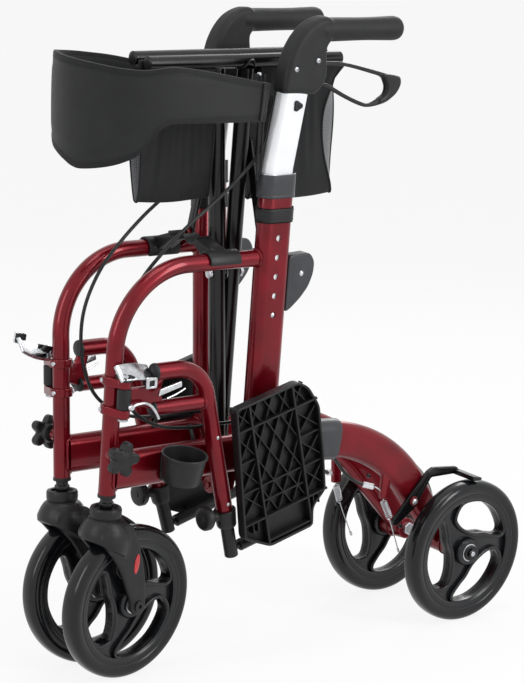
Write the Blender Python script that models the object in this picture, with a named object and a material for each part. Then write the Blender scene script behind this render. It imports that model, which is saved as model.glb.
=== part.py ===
# Folding walking frame with a seat and swing-away footrests, standing folded.
#
# Lengths are written in millimetres and angles in degrees. Each half of the frame is drawn once, in
# its own upright frame: u points outwards, y to the rear and w up. The halves then lean outwards by
# SPLAY, which is how the frame stands when it is folded. The user's left is +X, the rear is +Y.

import math

import bmesh
import bpy
from mathutils import Matrix, Vector

MM = 0.001
GAP = 0.3

# Stance
SPLAY = 3.05
FOOT_HALF_WIDTH = 36.5

# Front post and arm, one bent round tube
POST_R = 11.1
POST_FOOT_W = 250.0
ARM_W = 541.0
ARM_BEND = 105.0

# Upright, an oval tube that the handle tube slides in
UPRIGHT_Y = 240.0
UPRIGHT_LONG = 50.0
UPRIGHT_WIDE = 26.0
UPRIGHT_WALL = 2.0
UPRIGHT_TOP_W = 620.0
HOLE_PITCH = 25.4
HOLE_COUNT = 5
BUTTON_W = 466.0
BUTTON_R = 4.0

# Lower rail and rear arm, one bent oval tube
RAIL_W = 282.0
RAIL_LONG = 50.0
RAIL_WIDE = 25.0
RAIL_WALL = 2.0
REAR_BEND = 229.0
REAR_BEND_Y = 340.0
REAR_TURN = 52.0
REAR_STRAIGHT = 99.0
REAR_TIP_LONG = 34.0

# Wheels
WHEEL_R = 101.6
TYRE_HALF = 14.0
HUB_HALF = 15.5
HUB_R = 20.0
RIM_INNER_R = 77.0
SPOKE_COUNT = 3
WEB_HALF = 5.0
WINDOW_WALL = 4.8
WINDOW_WALL_HALF = 10.0
AXLE_R = 6.0
REAR_AXLE_Y = 588.0
REAR_WHEEL_U = 46.0
CASTER_TRAIL = 44.0
CASTER_TURN = {"left": 6.8, "right": 1.5}
STEM_R = 8.0
FORK_TOP_W = 223.0
FORK_DISC_R = 20.5
FORK_LEG_THICK = 7.5

# Handle tube, grip and brake lever
HANDLE_LONG = 45.0
HANDLE_WIDE = 21.0
HANDLE_WALL = 1.6
HANDLE_FOOT_W = 446.0
HANDLE_KINK_W = 657.0
HANDLE_LEAN = 9.0
HANDLE_TOP_W = 782.0
GRIP_R = 16.0
GRIP_W = 834.0
GRIP_END_Y = 429.0
LEVER_PIVOT = (322.0, 778.0)
LEVER_PIN_R = 3.0

# Folding cross under the seat
CROSS_PIVOT_X = 16.0
CROSS_PIVOT_W = 232.0
CROSS_HALF = 280.0
CROSS_R = 11.1
CROSS_Y = {"right": 203.0, "left": 227.0}
PIVOT_BOLT_R = 4.0
SEAT_RAIL_R = 11.1
SEAT_RAIL_FRONT_Y = 68.0
SEAT_RAIL_REAR_Y = 385.0
SEAT_OPEN_W = 570.0
SADDLE_WALL = 3.2
SADDLE_CLIP_R = 14.8
LINK_PIN = (43.0, 560.0)
LINK_WIDE = 14.0
LINK_THICK = 3.5
LINK_PIN_R = 3.5

# Footrest
HINGE_U = 24.5
HANGER_R = 11.0
HANGER_TOP_W = 413.0
HANGER_LOW_W = 366.0
HANGER_FRONT_Y = 62.0
LEG_FOOT = (175.0, 204.0)
LEG_LEAN = 14.9
HINGE_RING_W = (364.0, 402.0)
HINGE_RING_HALF = 5.5
HINGE_PIN_R = 4.0
EXTENSION_R = 9.0
EXTENSION_TRAVEL = 50.0
PLATE_PIVOT_DROP = 47.0
PLATE_U = (40.0, 54.0)
PLATE_SKIN = 3.0
PLATE_RIB = 2.6
PLATE_PIN_R = 4.0
LATCH_PIVOT = (-5.0, 414.0)
LATCH_PIN_R = 2.5
LATCH_TURN = {"left": 0.0, "right": 168.0}

# Brake arm at the rear wheel
BRAKE_PIVOT = (512.0, 178.0)
BRAKE_ARM_U = (13.3, 18.3)
BRAKE_CLEAR = 2.2
BRAKE_PIN_R = 3.5

# Cup, strap and seat cloth
CUP_AT = (45.0, 82.0, 271.0)
CUP_RIM_R = 30.0
CUP_BASE_R = 25.0
CUP_DEEP = 38.0
CUP_WALL = 2.5
STRAP_THICK = 7.0
STRAP_HALF_X = 94.0
STRAP_END_X = 76.0
STRAP_END_Y = 227.0
STRAP_STRAIGHT = 0.45
STRAP_LOOP_Y = 60.0
STRAP_LOOP_DEEP = 100.0
CABLE_R = 2.4

COLOURS = {
    "red": ("7A0A18", 0.55, 0.22),
    "black": ("17171A", 0.0, 0.45),
    "tube_black": ("1B1B1E", 0.3, 0.35),
    "tyre": ("1A1A1C", 0.0, 0.35),
    "silver": ("D9DCE2", 0.6, 0.3),
    "chrome": ("C8CACD", 1.0, 0.15),
    "grey": ("6A6C70", 0.0, 0.5),
    "cloth": ("202124", 0.0, 0.85),
}


# Solids in millimetres, kept as temporary objects until they are placed

def clear_scene():
    for item in list(bpy.data.objects):
        bpy.data.objects.remove(item, do_unlink=True)


def solid_from(bm):
    bmesh.ops.recalc_face_normals(bm, faces=bm.faces)
    mesh = bpy.data.meshes.new("solid")
    bm.to_mesh(mesh)
    bm.free()
    made = bpy.data.objects.new("solid", mesh)
    bpy.context.scene.collection.objects.link(made)
    return made


def combine(base, others, operation):
    for other in others:
        step = base.modifiers.new("step", "BOOLEAN")
        step.operation = operation
        step.solver = "EXACT"
        step.object = other
    graph = bpy.context.evaluated_depsgraph_get()
    graph.update()
    mesh = bpy.data.meshes.new_from_object(base.evaluated_get(graph))
    base.modifiers.clear()
    base.data = mesh
    for other in others:
        bpy.data.objects.remove(other, do_unlink=True)
    return base


def fuse(base, *others):
    return combine(base, others, "UNION")


def cut(base, *others):
    return combine(base, others, "DIFFERENCE")


def circle(radius, count):
    steps = [math.tau * (i + 0.5) / count for i in range(count)]
    return [(radius * math.cos(a), radius * math.sin(a)) for a in steps]


def stadium(long, wide, count=12):
    """Oval tube outline: the long way is the second number of each point."""
    radius = wide / 2
    flat = long / 2 - radius
    half = count // 2
    points = []
    for end in (1, -1):
        for i in range(half):
            angle = math.pi * i / (half - 1)
            points.append((end * radius * math.cos(angle), end * (flat + radius * math.sin(angle))))
    return points


def arc(centre, radius, start, end, steps):
    """Points on a circle from one angle to another, in degrees."""
    points = []
    for i in range(steps + 1):
        angle = math.radians(start + (end - start) * i / steps)
        points.append((centre[0] + radius * math.cos(angle), centre[1] + radius * math.sin(angle)))
    return points


def bent(points, radius, step=9.0):
    """The open line through the points with each inner corner rounded."""
    line = [Vector(points[0])]
    for before, corner, after in zip(points, points[1:], points[2:]):
        corner = Vector(corner)
        back = (Vector(before) - corner).normalized()
        on = (Vector(after) - corner).normalized()
        half = back.angle(on) / 2
        turn = math.pi - 2 * half
        reach = radius / math.tan(half)
        centre = corner + (back + on).normalized() * (radius / math.sin(half))
        first = corner + back * reach - centre
        last = corner + on * reach - centre
        count = max(2, round(math.degrees(turn) / step))
        for i in range(count + 1):
            share = i / count
            weight_a = math.sin((1 - share) * turn) / math.sin(turn)
            weight_b = math.sin(share * turn) / math.sin(turn)
            line.append(centre + first * weight_a + last * weight_b)
    line.append(Vector(points[-1]))
    return [tuple(p) for p in line]


def rounded(points, radius, steps=3):
    """A closed outline with its corners rounded."""
    outline = []
    count = len(points)
    for i in range(count):
        before, corner, after = (Vector(points[(i + k) % count]) for k in (-1, 0, 1))
        reach = min(radius, (before - corner).length * 0.45, (after - corner).length * 0.45)
        start = corner + (before - corner).normalized() * reach
        end = corner + (after - corner).normalized() * reach
        for j in range(steps + 1):
            t = j / steps
            outline.append(tuple(start * (1 - t) ** 2 + corner * 2 * t * (1 - t) + end * t ** 2))
    return outline


def area_of(outline):
    pairs = zip(outline, outline[1:] + outline[:1])
    return sum(a[0] * b[1] - b[0] * a[1] for a, b in pairs) / 2


def inset(outline, distance):
    """The outline moved inwards by a distance, corner by corner."""
    if area_of(outline) < 0:
        distance = -distance
    moved = []
    count = len(outline)
    for i in range(count):
        before, here, after = (Vector(outline[(i + k) % count]) for k in (-1, 0, 1))
        one = (here - before).normalized()
        two = (after - here).normalized()
        normal = Vector((-(one.y + two.y), one.x + two.x)).normalized()
        stretch = max(0.5, normal.dot(Vector((-one.y, one.x))))
        moved.append(tuple(here + normal * (distance / stretch)))
    return moved


def bridge(rings, closed=False):
    """A skin over rings of equal length, capped at the ends unless it is closed on itself."""
    bm = bmesh.new()
    loops = [[bm.verts.new(point) for point in ring] for ring in rings]
    count = len(loops[0])
    pairs = list(zip(loops, loops[1:]))
    if closed:
        pairs.append((loops[-1], loops[0]))
    for one, two in pairs:
        for i in range(count):
            j = (i + 1) % count
            bm.faces.new((one[i], one[j], two[j], two[i]))
    if not closed:
        bm.faces.new(loops[0])
        bm.faces.new(loops[-1])
    return solid_from(bm)


def plan(axis):
    """Turns (first, second, depth) into (u, y, w) for a shape drawn square to an axis."""
    if axis == "u":
        return lambda a, b, d: (d, a, b)
    if axis == "y":
        return lambda a, b, d: (a, d, b)
    return lambda a, b, d: (a, b, d)


def slab(outline, start, end, axis="u", chamfer=0.0):
    """An outline given thickness along an axis, with its edges eased."""
    put = plan(axis)
    levels = [(start, 0.0), (end, 0.0)]
    if chamfer:
        levels = [(start, chamfer), (start + chamfer, 0.0), (end - chamfer, 0.0), (end, chamfer)]
    rings = []
    for depth, ease in levels:
        shape = inset(outline, ease) if ease else outline
        rings.append([put(a, b, depth) for a, b in shape])
    return bridge(rings)


def rod(start, end, radius, count=16, end_radius=None):
    """A round bar between two points."""
    a = Vector(start)
    b = Vector(end)
    along = (b - a).normalized()
    helper = Vector((0, 0, 1)) if abs(along.z) < 0.9 else Vector((1, 0, 0))
    one = along.cross(helper).normalized()
    two = along.cross(one)
    far = radius if end_radius is None else end_radius
    rings = []
    for centre, size in ((a, radius), (b, far)):
        rings.append([centre + one * p + two * q for p, q in circle(size, count)])
    return bridge(rings)


def hole(start, end, radius, count=12):
    """A cutter whose flats clear a round bar of the radius given."""
    return rod(start, end, (radius + GAP) / math.cos(math.pi / count), count)


def turned(profile, centre, axis, count=32, ring=False):
    """A lathe shape. The profile lists (radius, height); a ring's profile closes on itself."""
    a = Vector(axis).normalized()
    helper = Vector((0, 0, 1)) if abs(a.z) < 0.9 else Vector((0, 1, 0))
    one = a.cross(helper).normalized()
    two = a.cross(one)
    rings = []
    for radius, height in profile:
        middle = Vector(centre) + a * height
        rings.append([middle + one * p + two * q for p, q in circle(radius, count)])
    return bridge(rings, closed=ring)


def swept(line, section, offset=0.0):
    """A bar along a line in the (y, w) plane. The section lists (outwards, across) offsets."""
    rings = []
    count = len(line)
    for i, point in enumerate(line):
        here = Vector(point)
        one = here - Vector(line[i - 1]) if i else Vector(line[1]) - here
        two = Vector(line[i + 1]) - here if i < count - 1 else one
        one = one.normalized()
        two = two.normalized()
        along = (one + two).normalized()
        stretch = 1 / max(0.3, along.dot(one))
        across = Vector((-along.y, along.x)) * stretch
        rings.append([(offset + a, here.x + across.x * b, here.y + across.y * b) for a, b in section])
    return rings


def bar(line, section, offset=0.0):
    return bridge(swept(line, section, offset))


def pipe(line, outer, inner, offset=0.0):
    """A hollow bar, open at both ends. Both sections have as many points."""
    rings = swept(line, outer, offset) + list(reversed(swept(line, inner, offset)))
    return bridge(rings, closed=True)


# Placing the finished pieces

HOMES = {}


def add_empty(name, parent=None, at=(0, 0, 0), turn=(0, 0, 0)):
    empty = bpy.data.objects.new(name, None)
    bpy.context.scene.collection.objects.link(empty)
    empty.parent = parent
    empty.location = [v * MM for v in at]
    empty.rotation_euler = [math.radians(v) for v in turn]
    return empty


def colour_of(code):
    levels = [int(code[i:i + 2], 16) / 255 for i in (0, 2, 4)]
    return [v / 12.92 if v <= 0.04045 else ((v + 0.055) / 1.055) ** 2.4 for v in levels] + [1.0]


def material_of(name, finish):
    code, metallic, roughness = COLOURS[finish]
    material = bpy.data.materials.new(name)
    material.use_nodes = True
    shader = material.node_tree.nodes["Principled BSDF"]
    shader.inputs["Base Color"].default_value = colour_of(code)
    shader.inputs["Metallic"].default_value = metallic
    shader.inputs["Roughness"].default_value = roughness
    return material


def place(name, solid, home, finish, at=(0, 0, 0), turn=(0, 0, 0)):
    """Names a solid and hangs it on its home with its origin at the point given."""
    empty, mirrored = HOMES[home]
    shift = Matrix.Translation(-Vector(at))
    solid.data.transform(Matrix.Scale(MM, 4) @ shift)
    place_at = Vector(at) * MM
    angles = Vector([math.radians(v) for v in turn])
    if mirrored:
        solid.data.transform(Matrix.Scale(-1, 4, (1, 0, 0)))
        solid.data.flip_normals()
        place_at.x = -place_at.x
        angles.y = -angles.y
        angles.z = -angles.z
    solid.name = name
    solid.data.name = name
    solid.parent = empty
    solid.location = place_at
    solid.rotation_euler = angles
    solid.data.materials.clear()
    solid.data.materials.append(material_of(name, finish))
    solid.data.shade_smooth()
    solid.data.set_sharp_from_angle(angle=math.radians(32))
    return solid


def local(x, z):
    """A point of the folded chair's own x and height, in the leaning (u, w) frame of a half."""
    lean = math.radians(SPLAY)
    out = x - FOOT_HALF_WIDTH
    return out * math.cos(lean) - z * math.sin(lean), out * math.sin(lean) + z * math.cos(lean)


def wheel_height(turn=0.0, offset=0.0, trail=0.0):
    """Height w of a wheel's centre so that its lowest point is on the floor.

    The wheel stands offset outwards; a caster turned inwards has its centre trail behind the post.
    """
    lean = math.radians(SPLAY)
    spin = math.radians(turn)
    axle_rise = -math.sin(lean) * math.cos(spin)
    flat = math.sqrt(1 - axle_rise ** 2)
    drop = max(r * flat + abs(h * axle_rise) for r, h in TYRE_PROFILE)
    out = offset - trail * math.sin(spin)
    return (drop + out * math.sin(lean)) / math.cos(lean)


# Wheels and casters

TYRE_PROFILE = [
    (RIM_INNER_R, -TYRE_HALF + 2.5),
    (93.0, -TYRE_HALF),
    (WHEEL_R - 2.0, -TYRE_HALF + 6.5),
    (WHEEL_R, 0.0),
    (WHEEL_R - 2.0, TYRE_HALF - 6.5),
    (93.0, TYRE_HALF),
    (RIM_INNER_R, TYRE_HALF - 2.5),
]


# Corners of one wheel window, as angle from the rear and radius: a long tip that trails round the hub
WINDOW_CORNERS = [(14, 67), (21, 51), (36, 39), (62, 28), (95, 31), (112, 43), (114, 57), (99, 71),
                  (72, 73), (46, 73), (22, 72.5)]


def window_outline(number):
    outline = []
    for angle, radius in WINDOW_CORNERS:
        turn = math.radians(angle + 360 * number / SPOKE_COUNT)
        outline.append((radius * math.cos(turn), radius * math.sin(turn)))
    return outline


def wheel_solid(centre):
    """A thin web with three windows, each in a raised wall, which leaves a pocket at each end of a spoke."""
    u, y, w = centre
    wheel = turned(TYRE_PROFILE, centre, (1, 0, 0), 26, ring=True)
    web = turned([(RIM_INNER_R + 2, -WEB_HALF), (RIM_INNER_R + 2, WEB_HALF)], centre, (1, 0, 0), 26)
    hub = turned([(HUB_R - 2, -HUB_HALF), (HUB_R, -HUB_HALF + 3), (HUB_R, HUB_HALF - 3),
                  (HUB_R - 2, HUB_HALF)], centre, (1, 0, 0), 14)
    walls = []
    windows = []
    for number in range(SPOKE_COUNT):
        outline = [(y + a, w + b) for a, b in window_outline(number)]
        walls.append(slab(inset(outline, -WINDOW_WALL), u - WINDOW_WALL_HALF, u + WINDOW_WALL_HALF))
        windows.append(slab(outline, u - 2 * WINDOW_WALL_HALF, u + 2 * WINDOW_WALL_HALF))
    fuse(wheel, web, hub, *walls)
    return cut(wheel, hole((u - 30, y, w), (u + 30, y, w), AXLE_R), *windows)


def fork_solid(axle_w):
    """Domed shoulder on a disc and a stem, hollow over the wheel, with two legs that taper to the axle."""
    top = FORK_TOP_W
    inner = TYRE_HALF + 3.5
    outer = inner + FORK_LEG_THICK
    leg = [(-24, top), (-26, 196), (-12, 176), (4, 171), (13, 148), (25, axle_w + 6)]
    leg += arc((CASTER_TRAIL - 2, axle_w), 16.5, 185, 355, 6)
    leg += [(51, 150), (38, 190), (26, top)]
    fork = turned([(FORK_DISC_R, top), (27, 214), (32.5, 203), (33, 190), (30, 178)], (0, 0, 0), (0, 0, 1), 16)
    for side in (-1, 1):
        ends = sorted((side * inner, side * outer))
        fuse(fork, slab(leg, ends[0], ends[1]))
    disc = turned([(18.0, 0), (FORK_DISC_R, 3), (FORK_DISC_R, 16), (17.0, 20.5)], (0, 0, top - 1.0),
                  (0, 0, 1), 16)
    stem = rod((0, 0, top + 17), (0, 0, top + 73), STEM_R, 12)
    fuse(fork, disc, stem)
    axle = hole((-40, CASTER_TRAIL, axle_w), (40, CASTER_TRAIL, axle_w), AXLE_R)
    room = rod((-inner, CASTER_TRAIL, axle_w), (inner, CASTER_TRAIL, axle_w), WHEEL_R + 3.0, 22)
    return cut(fork, room, axle)


def front_axle_solid(axle_w):
    outer = TYRE_HALF + 11.0
    y = CASTER_TRAIL
    bolt = rod((-outer - 3, y, axle_w), (outer + 3, y, axle_w), AXLE_R, 12)
    head = turned([(9, 0), (9, 3), (6, 5.5)], (outer + GAP, y, axle_w), (1, 0, 0), 12)
    nut = turned([(9, 0), (9, 5)], (-outer - GAP, y, axle_w), (-1, 0, 0), 6)
    return fuse(bolt, head, nut)


def build_caster(side):
    turn = CASTER_TURN[side]
    axle_w = wheel_height(turn, 0.0, CASTER_TRAIL)
    empty, mirrored = HOMES[side]
    spin = turn if not mirrored else -turn
    caster = add_empty(f"{side}_caster", empty, turn=(0, 0, spin))
    HOMES[f"{side}_caster"] = (caster, mirrored)
    centre = (0, CASTER_TRAIL, axle_w)
    place(f"caster_fork_{side}", fork_solid(axle_w), f"{side}_caster", "black")
    place(f"front_wheel_{side}", wheel_solid(centre), f"{side}_caster", "tyre", at=centre)
    place(f"front_axle_{side}", front_axle_solid(axle_w), f"{side}_caster", "chrome", at=centre)


def build_rear_wheel(side):
    axle_w = wheel_height(0.0, REAR_WHEEL_U)
    centre = (REAR_WHEEL_U, REAR_AXLE_Y, axle_w)
    place(f"rear_wheel_{side}", wheel_solid(centre), side, "tyre", at=centre)
    end = REAR_WHEEL_U + HUB_HALF
    bolt = rod((-17, REAR_AXLE_Y, axle_w), (end + 3, REAR_AXLE_Y, axle_w), AXLE_R, 12)
    cap = turned([(12, 0), (12, 4), (8, 8)], (end + GAP, REAR_AXLE_Y, axle_w), (1, 0, 0), 14)
    nut = turned([(9.5, 0), (9.5, 6)], (-14 - GAP, REAR_AXLE_Y, axle_w), (-1, 0, 0), 6)
    place(f"rear_axle_{side}", fuse(bolt, cap, nut), side, "chrome", at=centre)


# Side frames

def rail_line(start_y=6.0):
    """Middle line of the lower rail and rear arm."""
    centre = (REAR_BEND_Y, RAIL_W - REAR_BEND)
    line = [(start_y, RAIL_W)] + arc(centre, REAR_BEND, 90, 90 - REAR_TURN, 6)
    turn = math.radians(REAR_TURN)
    last = line[-1]
    line.append((last[0] + REAR_STRAIGHT * math.cos(turn), last[1] - REAR_STRAIGHT * math.sin(turn)))
    return line


def cross_pivot():
    return local(CROSS_PIVOT_X, CROSS_PIVOT_W)


def link_pin():
    return local(*LINK_PIN)


def cross_bracket(side):
    """Two plates that hold the foot of this side's cross tube. Only the left has its pin."""
    u, w = cross_pivot()
    outline = [(-10, RAIL_W + 16), (-10, RAIL_W - 22), (-16, w - 6)]
    outline += arc((u, w), 11, 290, 110, 5)
    y = CROSS_Y["right" if side == "left" else "left"]
    plates = []
    for sign in (-1, 1):
        near = y + sign * (CROSS_R + 0.5)
        far = near + sign * 3.2
        plates.append(slab(outline, min(near, far), max(near, far), "y"))
    if side == "left":
        reach = CROSS_R + 6
        plates.append(rod((u, y - reach, w), (u, y + reach, w), PIVOT_BOLT_R, 12))
    return plates


def link_plane(side):
    """Start and end y of this side's folding link, which lies just off the cross tubes."""
    if side == "left":
        start = CROSS_Y["left"] + CROSS_R + 0.5
        return start, start + LINK_THICK
    end = CROSS_Y["right"] - CROSS_R - 0.5
    return end - LINK_THICK, end


def link_bracket(side):
    u, w = link_pin()
    near, far = link_plane(side)
    if side == "left":
        start, end = far + 0.4, far + 3.9
        outline = [(-10, w - 14), (-10, w + 14), (u - 4, w + 8), (u - 8, w), (u - 4, w - 8)]
        pin = (near - 3, end)
    else:
        start, end = near - 3.9, near - 0.4
        outline = [(0, w - 24), (0, w - 12), (u + 2, w + 8), (u - 6, w + 5), (u - 8, w - 4), (u + 2, w - 14)]
        pin = (far + 3, start)
    plate = slab(outline, start, end, "y")
    stem = rod((u, pin[0], w), (u, pin[1], w), LINK_PIN_R, 10)
    head = rod((u, pin[0], w), (u, pin[0] + (2.2 if side == "left" else -2.2), w), 6, 10)
    return [plate, stem, head]


def frame_solid(side):
    post_line = [(0, POST_FOOT_W), (0, ARM_W), (UPRIGHT_Y - UPRIGHT_LONG / 2 + 1.0, ARM_W)]
    frame = bar(bent(post_line, ARM_BEND, 11), circle(POST_R, 12))
    rail_rings = swept(rail_line(), stadium(RAIL_LONG, RAIL_WIDE))
    rail_rings[-1] = swept(rail_line(), stadium(REAR_TIP_LONG, RAIL_WIDE))[-1]
    rail = bridge(rail_rings)
    upright_line = [(UPRIGHT_Y, RAIL_W + 4), (UPRIGHT_Y, UPRIGHT_TOP_W)]
    upright = bar(upright_line, stadium(UPRIGHT_LONG, UPRIGHT_WIDE))
    axle_w = wheel_height(0.0, REAR_WHEEL_U)
    boss_end = REAR_WHEEL_U - HUB_HALF - 0.5
    boss = rod((-14, REAR_AXLE_Y, axle_w), (boss_end, REAR_AXLE_Y, axle_w), 15, 16)
    brake_y, brake_w = BRAKE_PIVOT
    brake_pin = rod((0, brake_y, brake_w), (BRAKE_ARM_U[1] + 0.5, brake_y, brake_w), BRAKE_PIN_R, 10)
    brake_head = rod((BRAKE_ARM_U[1] + GAP, brake_y, brake_w),
                     (BRAKE_ARM_U[1] + 3, brake_y, brake_w), 7, 10)
    adjuster = slab([(462, 228), (476, 222), (476, 184), (462, 184)], 1, 8, chamfer=0.8)
    knob_boss = rod((4, -2, 307), (POST_R + 2.5, -2, 307), 8, 14)
    extras = [boss, brake_pin, brake_head, adjuster, knob_boss]
    fuse(frame, rail, upright, *extras, *cross_bracket(side), *link_bracket(side))
    bore_long = UPRIGHT_LONG - 2 * UPRIGHT_WALL
    bore_wide = UPRIGHT_WIDE - 2 * UPRIGHT_WALL
    bore = bar([(UPRIGHT_Y, RAIL_W + 30), (UPRIGHT_Y, UPRIGHT_TOP_W + 5)], stadium(bore_long, bore_wide))
    stem_bore = hole((0, 0, POST_FOOT_W - 5), (0, 0, 300), STEM_R)
    axle_bore = hole((-30, REAR_AXLE_Y, axle_w), (60, REAR_AXLE_Y, axle_w), AXLE_R)
    top_hole = BUTTON_W + HOLE_PITCH * (HOLE_COUNT - 1)
    groove = slab([(UPRIGHT_Y - BUTTON_R - 0.4, BUTTON_W - 6), (UPRIGHT_Y + BUTTON_R + 0.4, BUTTON_W - 6),
                   (UPRIGHT_Y + BUTTON_R + 0.4, UPRIGHT_TOP_W + 5),
                   (UPRIGHT_Y - BUTTON_R - 0.4, UPRIGHT_TOP_W + 5)],
                  bore_wide / 2 - 2, bore_wide / 2 + 1.3)
    holes = []
    for i in range(HOLE_COUNT):
        w = top_hole - HOLE_PITCH * i
        holes.append(rod((bore_wide / 2 - 1, UPRIGHT_Y, w), (UPRIGHT_WIDE, UPRIGHT_Y, w), BUTTON_R, 8))
    return cut(frame, bore, stem_bore, axle_bore, groove, *holes)


def rail_collar_solid():
    _, first, second = [Vector(point) for point in rail_line()[:3]]
    line = [(337.0, RAIL_W), tuple(first), tuple(first.lerp(second, 0.9))]
    outer = stadium(RAIL_LONG + 7, RAIL_WIDE + 7)
    inner = stadium(RAIL_LONG + 2 * GAP, RAIL_WIDE + 2 * GAP)
    return pipe(line, outer, inner)


def ring_solid(start, end, grow, inner_long, inner_wide):
    """A sleeve round the upright or the handle tube."""
    line = [(UPRIGHT_Y, start), (UPRIGHT_Y, end)]
    outer = stadium(UPRIGHT_LONG + grow, UPRIGHT_WIDE + grow)
    return pipe(line, outer, stadium(inner_long, inner_wide))


def quarter_bracket_solid():
    rear = UPRIGHT_Y + UPRIGHT_LONG / 2
    outline = [(rear - 8, 541), (rear + 20, 543)]
    outline += arc((rear + 18, 511), 32, 80, -62, 8)
    outline += [(rear + 10, 473), (rear - 8, 470)]
    body = slab(rounded(outline, 3, 1), -8.5, 8.5, chamfer=1.5)
    rivet = rod((-10, rear + 26, 513), (10, rear + 26, 513), 5, 10)
    fuse(body, rivet)
    keep = stadium(UPRIGHT_LONG + 2 * GAP, UPRIGHT_WIDE + 2 * GAP)
    return cut(body, bar([(UPRIGHT_Y, 460), (UPRIGHT_Y, 550)], keep))


def saddle_solid():
    """Clip over the arm, with the trough inboard that the seat rail lands in when the frame is open."""
    u, w = local(CROSS_PIVOT_X, SEAT_OPEN_W)
    trough_r = SEAT_RAIL_R + 2.6
    centre = (u, w - SEAT_RAIL_R - 0.4 + trough_r)
    outline = arc(centre, trough_r + SADDLE_WALL, 206, 300, 7)
    outline += arc((0, ARM_W), SADDLE_CLIP_R, 192, 226, 3)
    outline += arc((0, ARM_W), POST_R + GAP + 0.3, 226, -8, 18)
    outline += arc((0, ARM_W), SADDLE_CLIP_R, -8, 128, 10)
    outline += arc(centre, trough_r + SADDLE_WALL, -20, -5, 2)
    outline += arc(centre, trough_r, -5, -154, 10)
    return slab(outline, 132, 181, "y", 1.0)


def hinge_bracket_solid():
    """Two clamp rings on the post with the pin that the footrest hanger swings on."""
    rings = []
    for w in HINGE_RING_W:
        outline = arc((0, 0), 15.5, 55, 305, 7) + arc((HINGE_U, 0), 8.5, -65, 65, 3)
        rings.append(slab(outline, w - HINGE_RING_HALF, w + HINGE_RING_HALF, "w"))
    low, high = HINGE_RING_W
    pin = rod((HINGE_U, 0, low - 8), (HINGE_U, 0, high + 4), HINGE_PIN_R, 10)
    y, w = LATCH_PIVOT
    ear = slab([(y - 5, high), (y + 7, high), (y + 5, w + 2), (y, w + 5), (y - 4, w + 2)],
               HINGE_U - 2, HINGE_U + 2)
    latch_pin = rod((HINGE_U - 11, y, w), (HINGE_U + 11, y, w), LATCH_PIN_R, 10)
    bracket = fuse(rings[0], rings[1], pin, ear, latch_pin)
    return cut(bracket, rod((0, 0, low - 20), (0, 0, high + 20), POST_R + GAP + 0.3, 12))


def build_frame(side):
    place(f"side_frame_{side}", frame_solid(side), side, "red")
    place(f"rail_collar_{side}", rail_collar_solid(), side, "grey")
    top = ring_solid(UPRIGHT_TOP_W + GAP, UPRIGHT_TOP_W + 31, 4.5, HANDLE_LONG + 2 * GAP,
                     HANDLE_WIDE + 2 * GAP)
    place(f"top_collar_{side}", top, side, "grey")
    band = ring_solid(588, 607, 5, UPRIGHT_LONG + 2 * GAP, UPRIGHT_WIDE + 2 * GAP)
    place(f"upright_band_{side}", band, side, "cloth")
    place(f"quarter_bracket_{side}", quarter_bracket_solid(), side, "grey")
    place(f"seat_saddle_{side}", saddle_solid(), side, "black")
    place(f"hinge_bracket_{side}", hinge_bracket_solid(), side, "red")


# Handles

def handle_line(start=HANDLE_FOOT_W):
    rise = HANDLE_TOP_W - HANDLE_KINK_W
    end = (UPRIGHT_Y + rise * math.tan(math.radians(HANDLE_LEAN)), HANDLE_TOP_W)
    return bent([(UPRIGHT_Y, start), (UPRIGHT_Y, HANDLE_KINK_W), end], 60, 4.5)


def handle_top(start, over=0.0):
    """The straight leaning stretch of the handle tube's line, from a height up past its top."""
    slope = math.tan(math.radians(HANDLE_LEAN))
    foot_y = UPRIGHT_Y - (HANDLE_KINK_W - start) * slope
    rise = HANDLE_TOP_W + over - start
    return [(foot_y, start), (foot_y + rise * slope, HANDLE_TOP_W + over)]


def handle_tube_solid():
    outer = stadium(HANDLE_LONG, HANDLE_WIDE)
    inner = stadium(HANDLE_LONG - 2 * HANDLE_WALL, HANDLE_WIDE - 2 * HANDLE_WALL)
    tube = pipe(handle_line(), outer, inner)
    hole = rod((0, UPRIGHT_Y, BUTTON_W), (20, UPRIGHT_Y, BUTTON_W), BUTTON_R - 0.1, 10)
    return cut(tube, hole)


def grip_solid():
    y, w = LEVER_PIVOT
    outline = [(234, 762), (238, 793), (243, 817), (254, 835), (271, 846), (299, 850), (308, 841),
               (308, 812), (311, 790), (311, 757), (300, 764), (283, 752), (256, 750)]
    housing = slab(outline, -14.5, 14.5, chamfer=3)
    start = 290.0
    length = GRIP_END_Y - start
    profile = [(GRIP_R, 0), (GRIP_R - 0.8, length * 0.5), (GRIP_R, length - 8), (GRIP_R - 7, length)]
    grip = turned(profile, (0, start, GRIP_W), (0, 1, 0), 16)
    ear = [(298, 762), (y + 6, w - 11), (y + 11, w - 4), (y + 11, w + 4), (y + 6, w + 11), (298, 796)]
    ears = [slab(ear, 7.2, 13), slab(ear, -13, -7.2)]
    pin = rod((-10, y, w), (10, y, w), LEVER_PIN_R, 10)
    fuse(housing, grip, *ears, pin)
    socket = bar(handle_top(735.0, 0.5), stadium(HANDLE_LONG + 2 * GAP, HANDLE_WIDE + 2 * GAP))
    return cut(housing, socket)


def lever_solid():
    y, w = LEVER_PIVOT
    outer = arc(LEVER_PIVOT, 9, 80, 250, 4)
    outer += [(y + 6, w - 13), (348, 741), (370, 732), (395, 730), (424, 738), (436, 750), (440, 763),
              (433, 772), (402, 777), (345, 789)]
    inner = rounded([(y + 11, w - 2), (y + 12, w - 7), (351, 750), (371, 742), (393, 740), (419, 747),
                     (427, 757), (424, 763), (400, 767), (345, 779)], 3, 1)
    body = slab(outer, -6.4, 6.4, chamfer=1.5)
    return cut(body, slab(inner, -10, 10), hole((-10, y, w), (10, y, w), LEVER_PIN_R))


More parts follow.
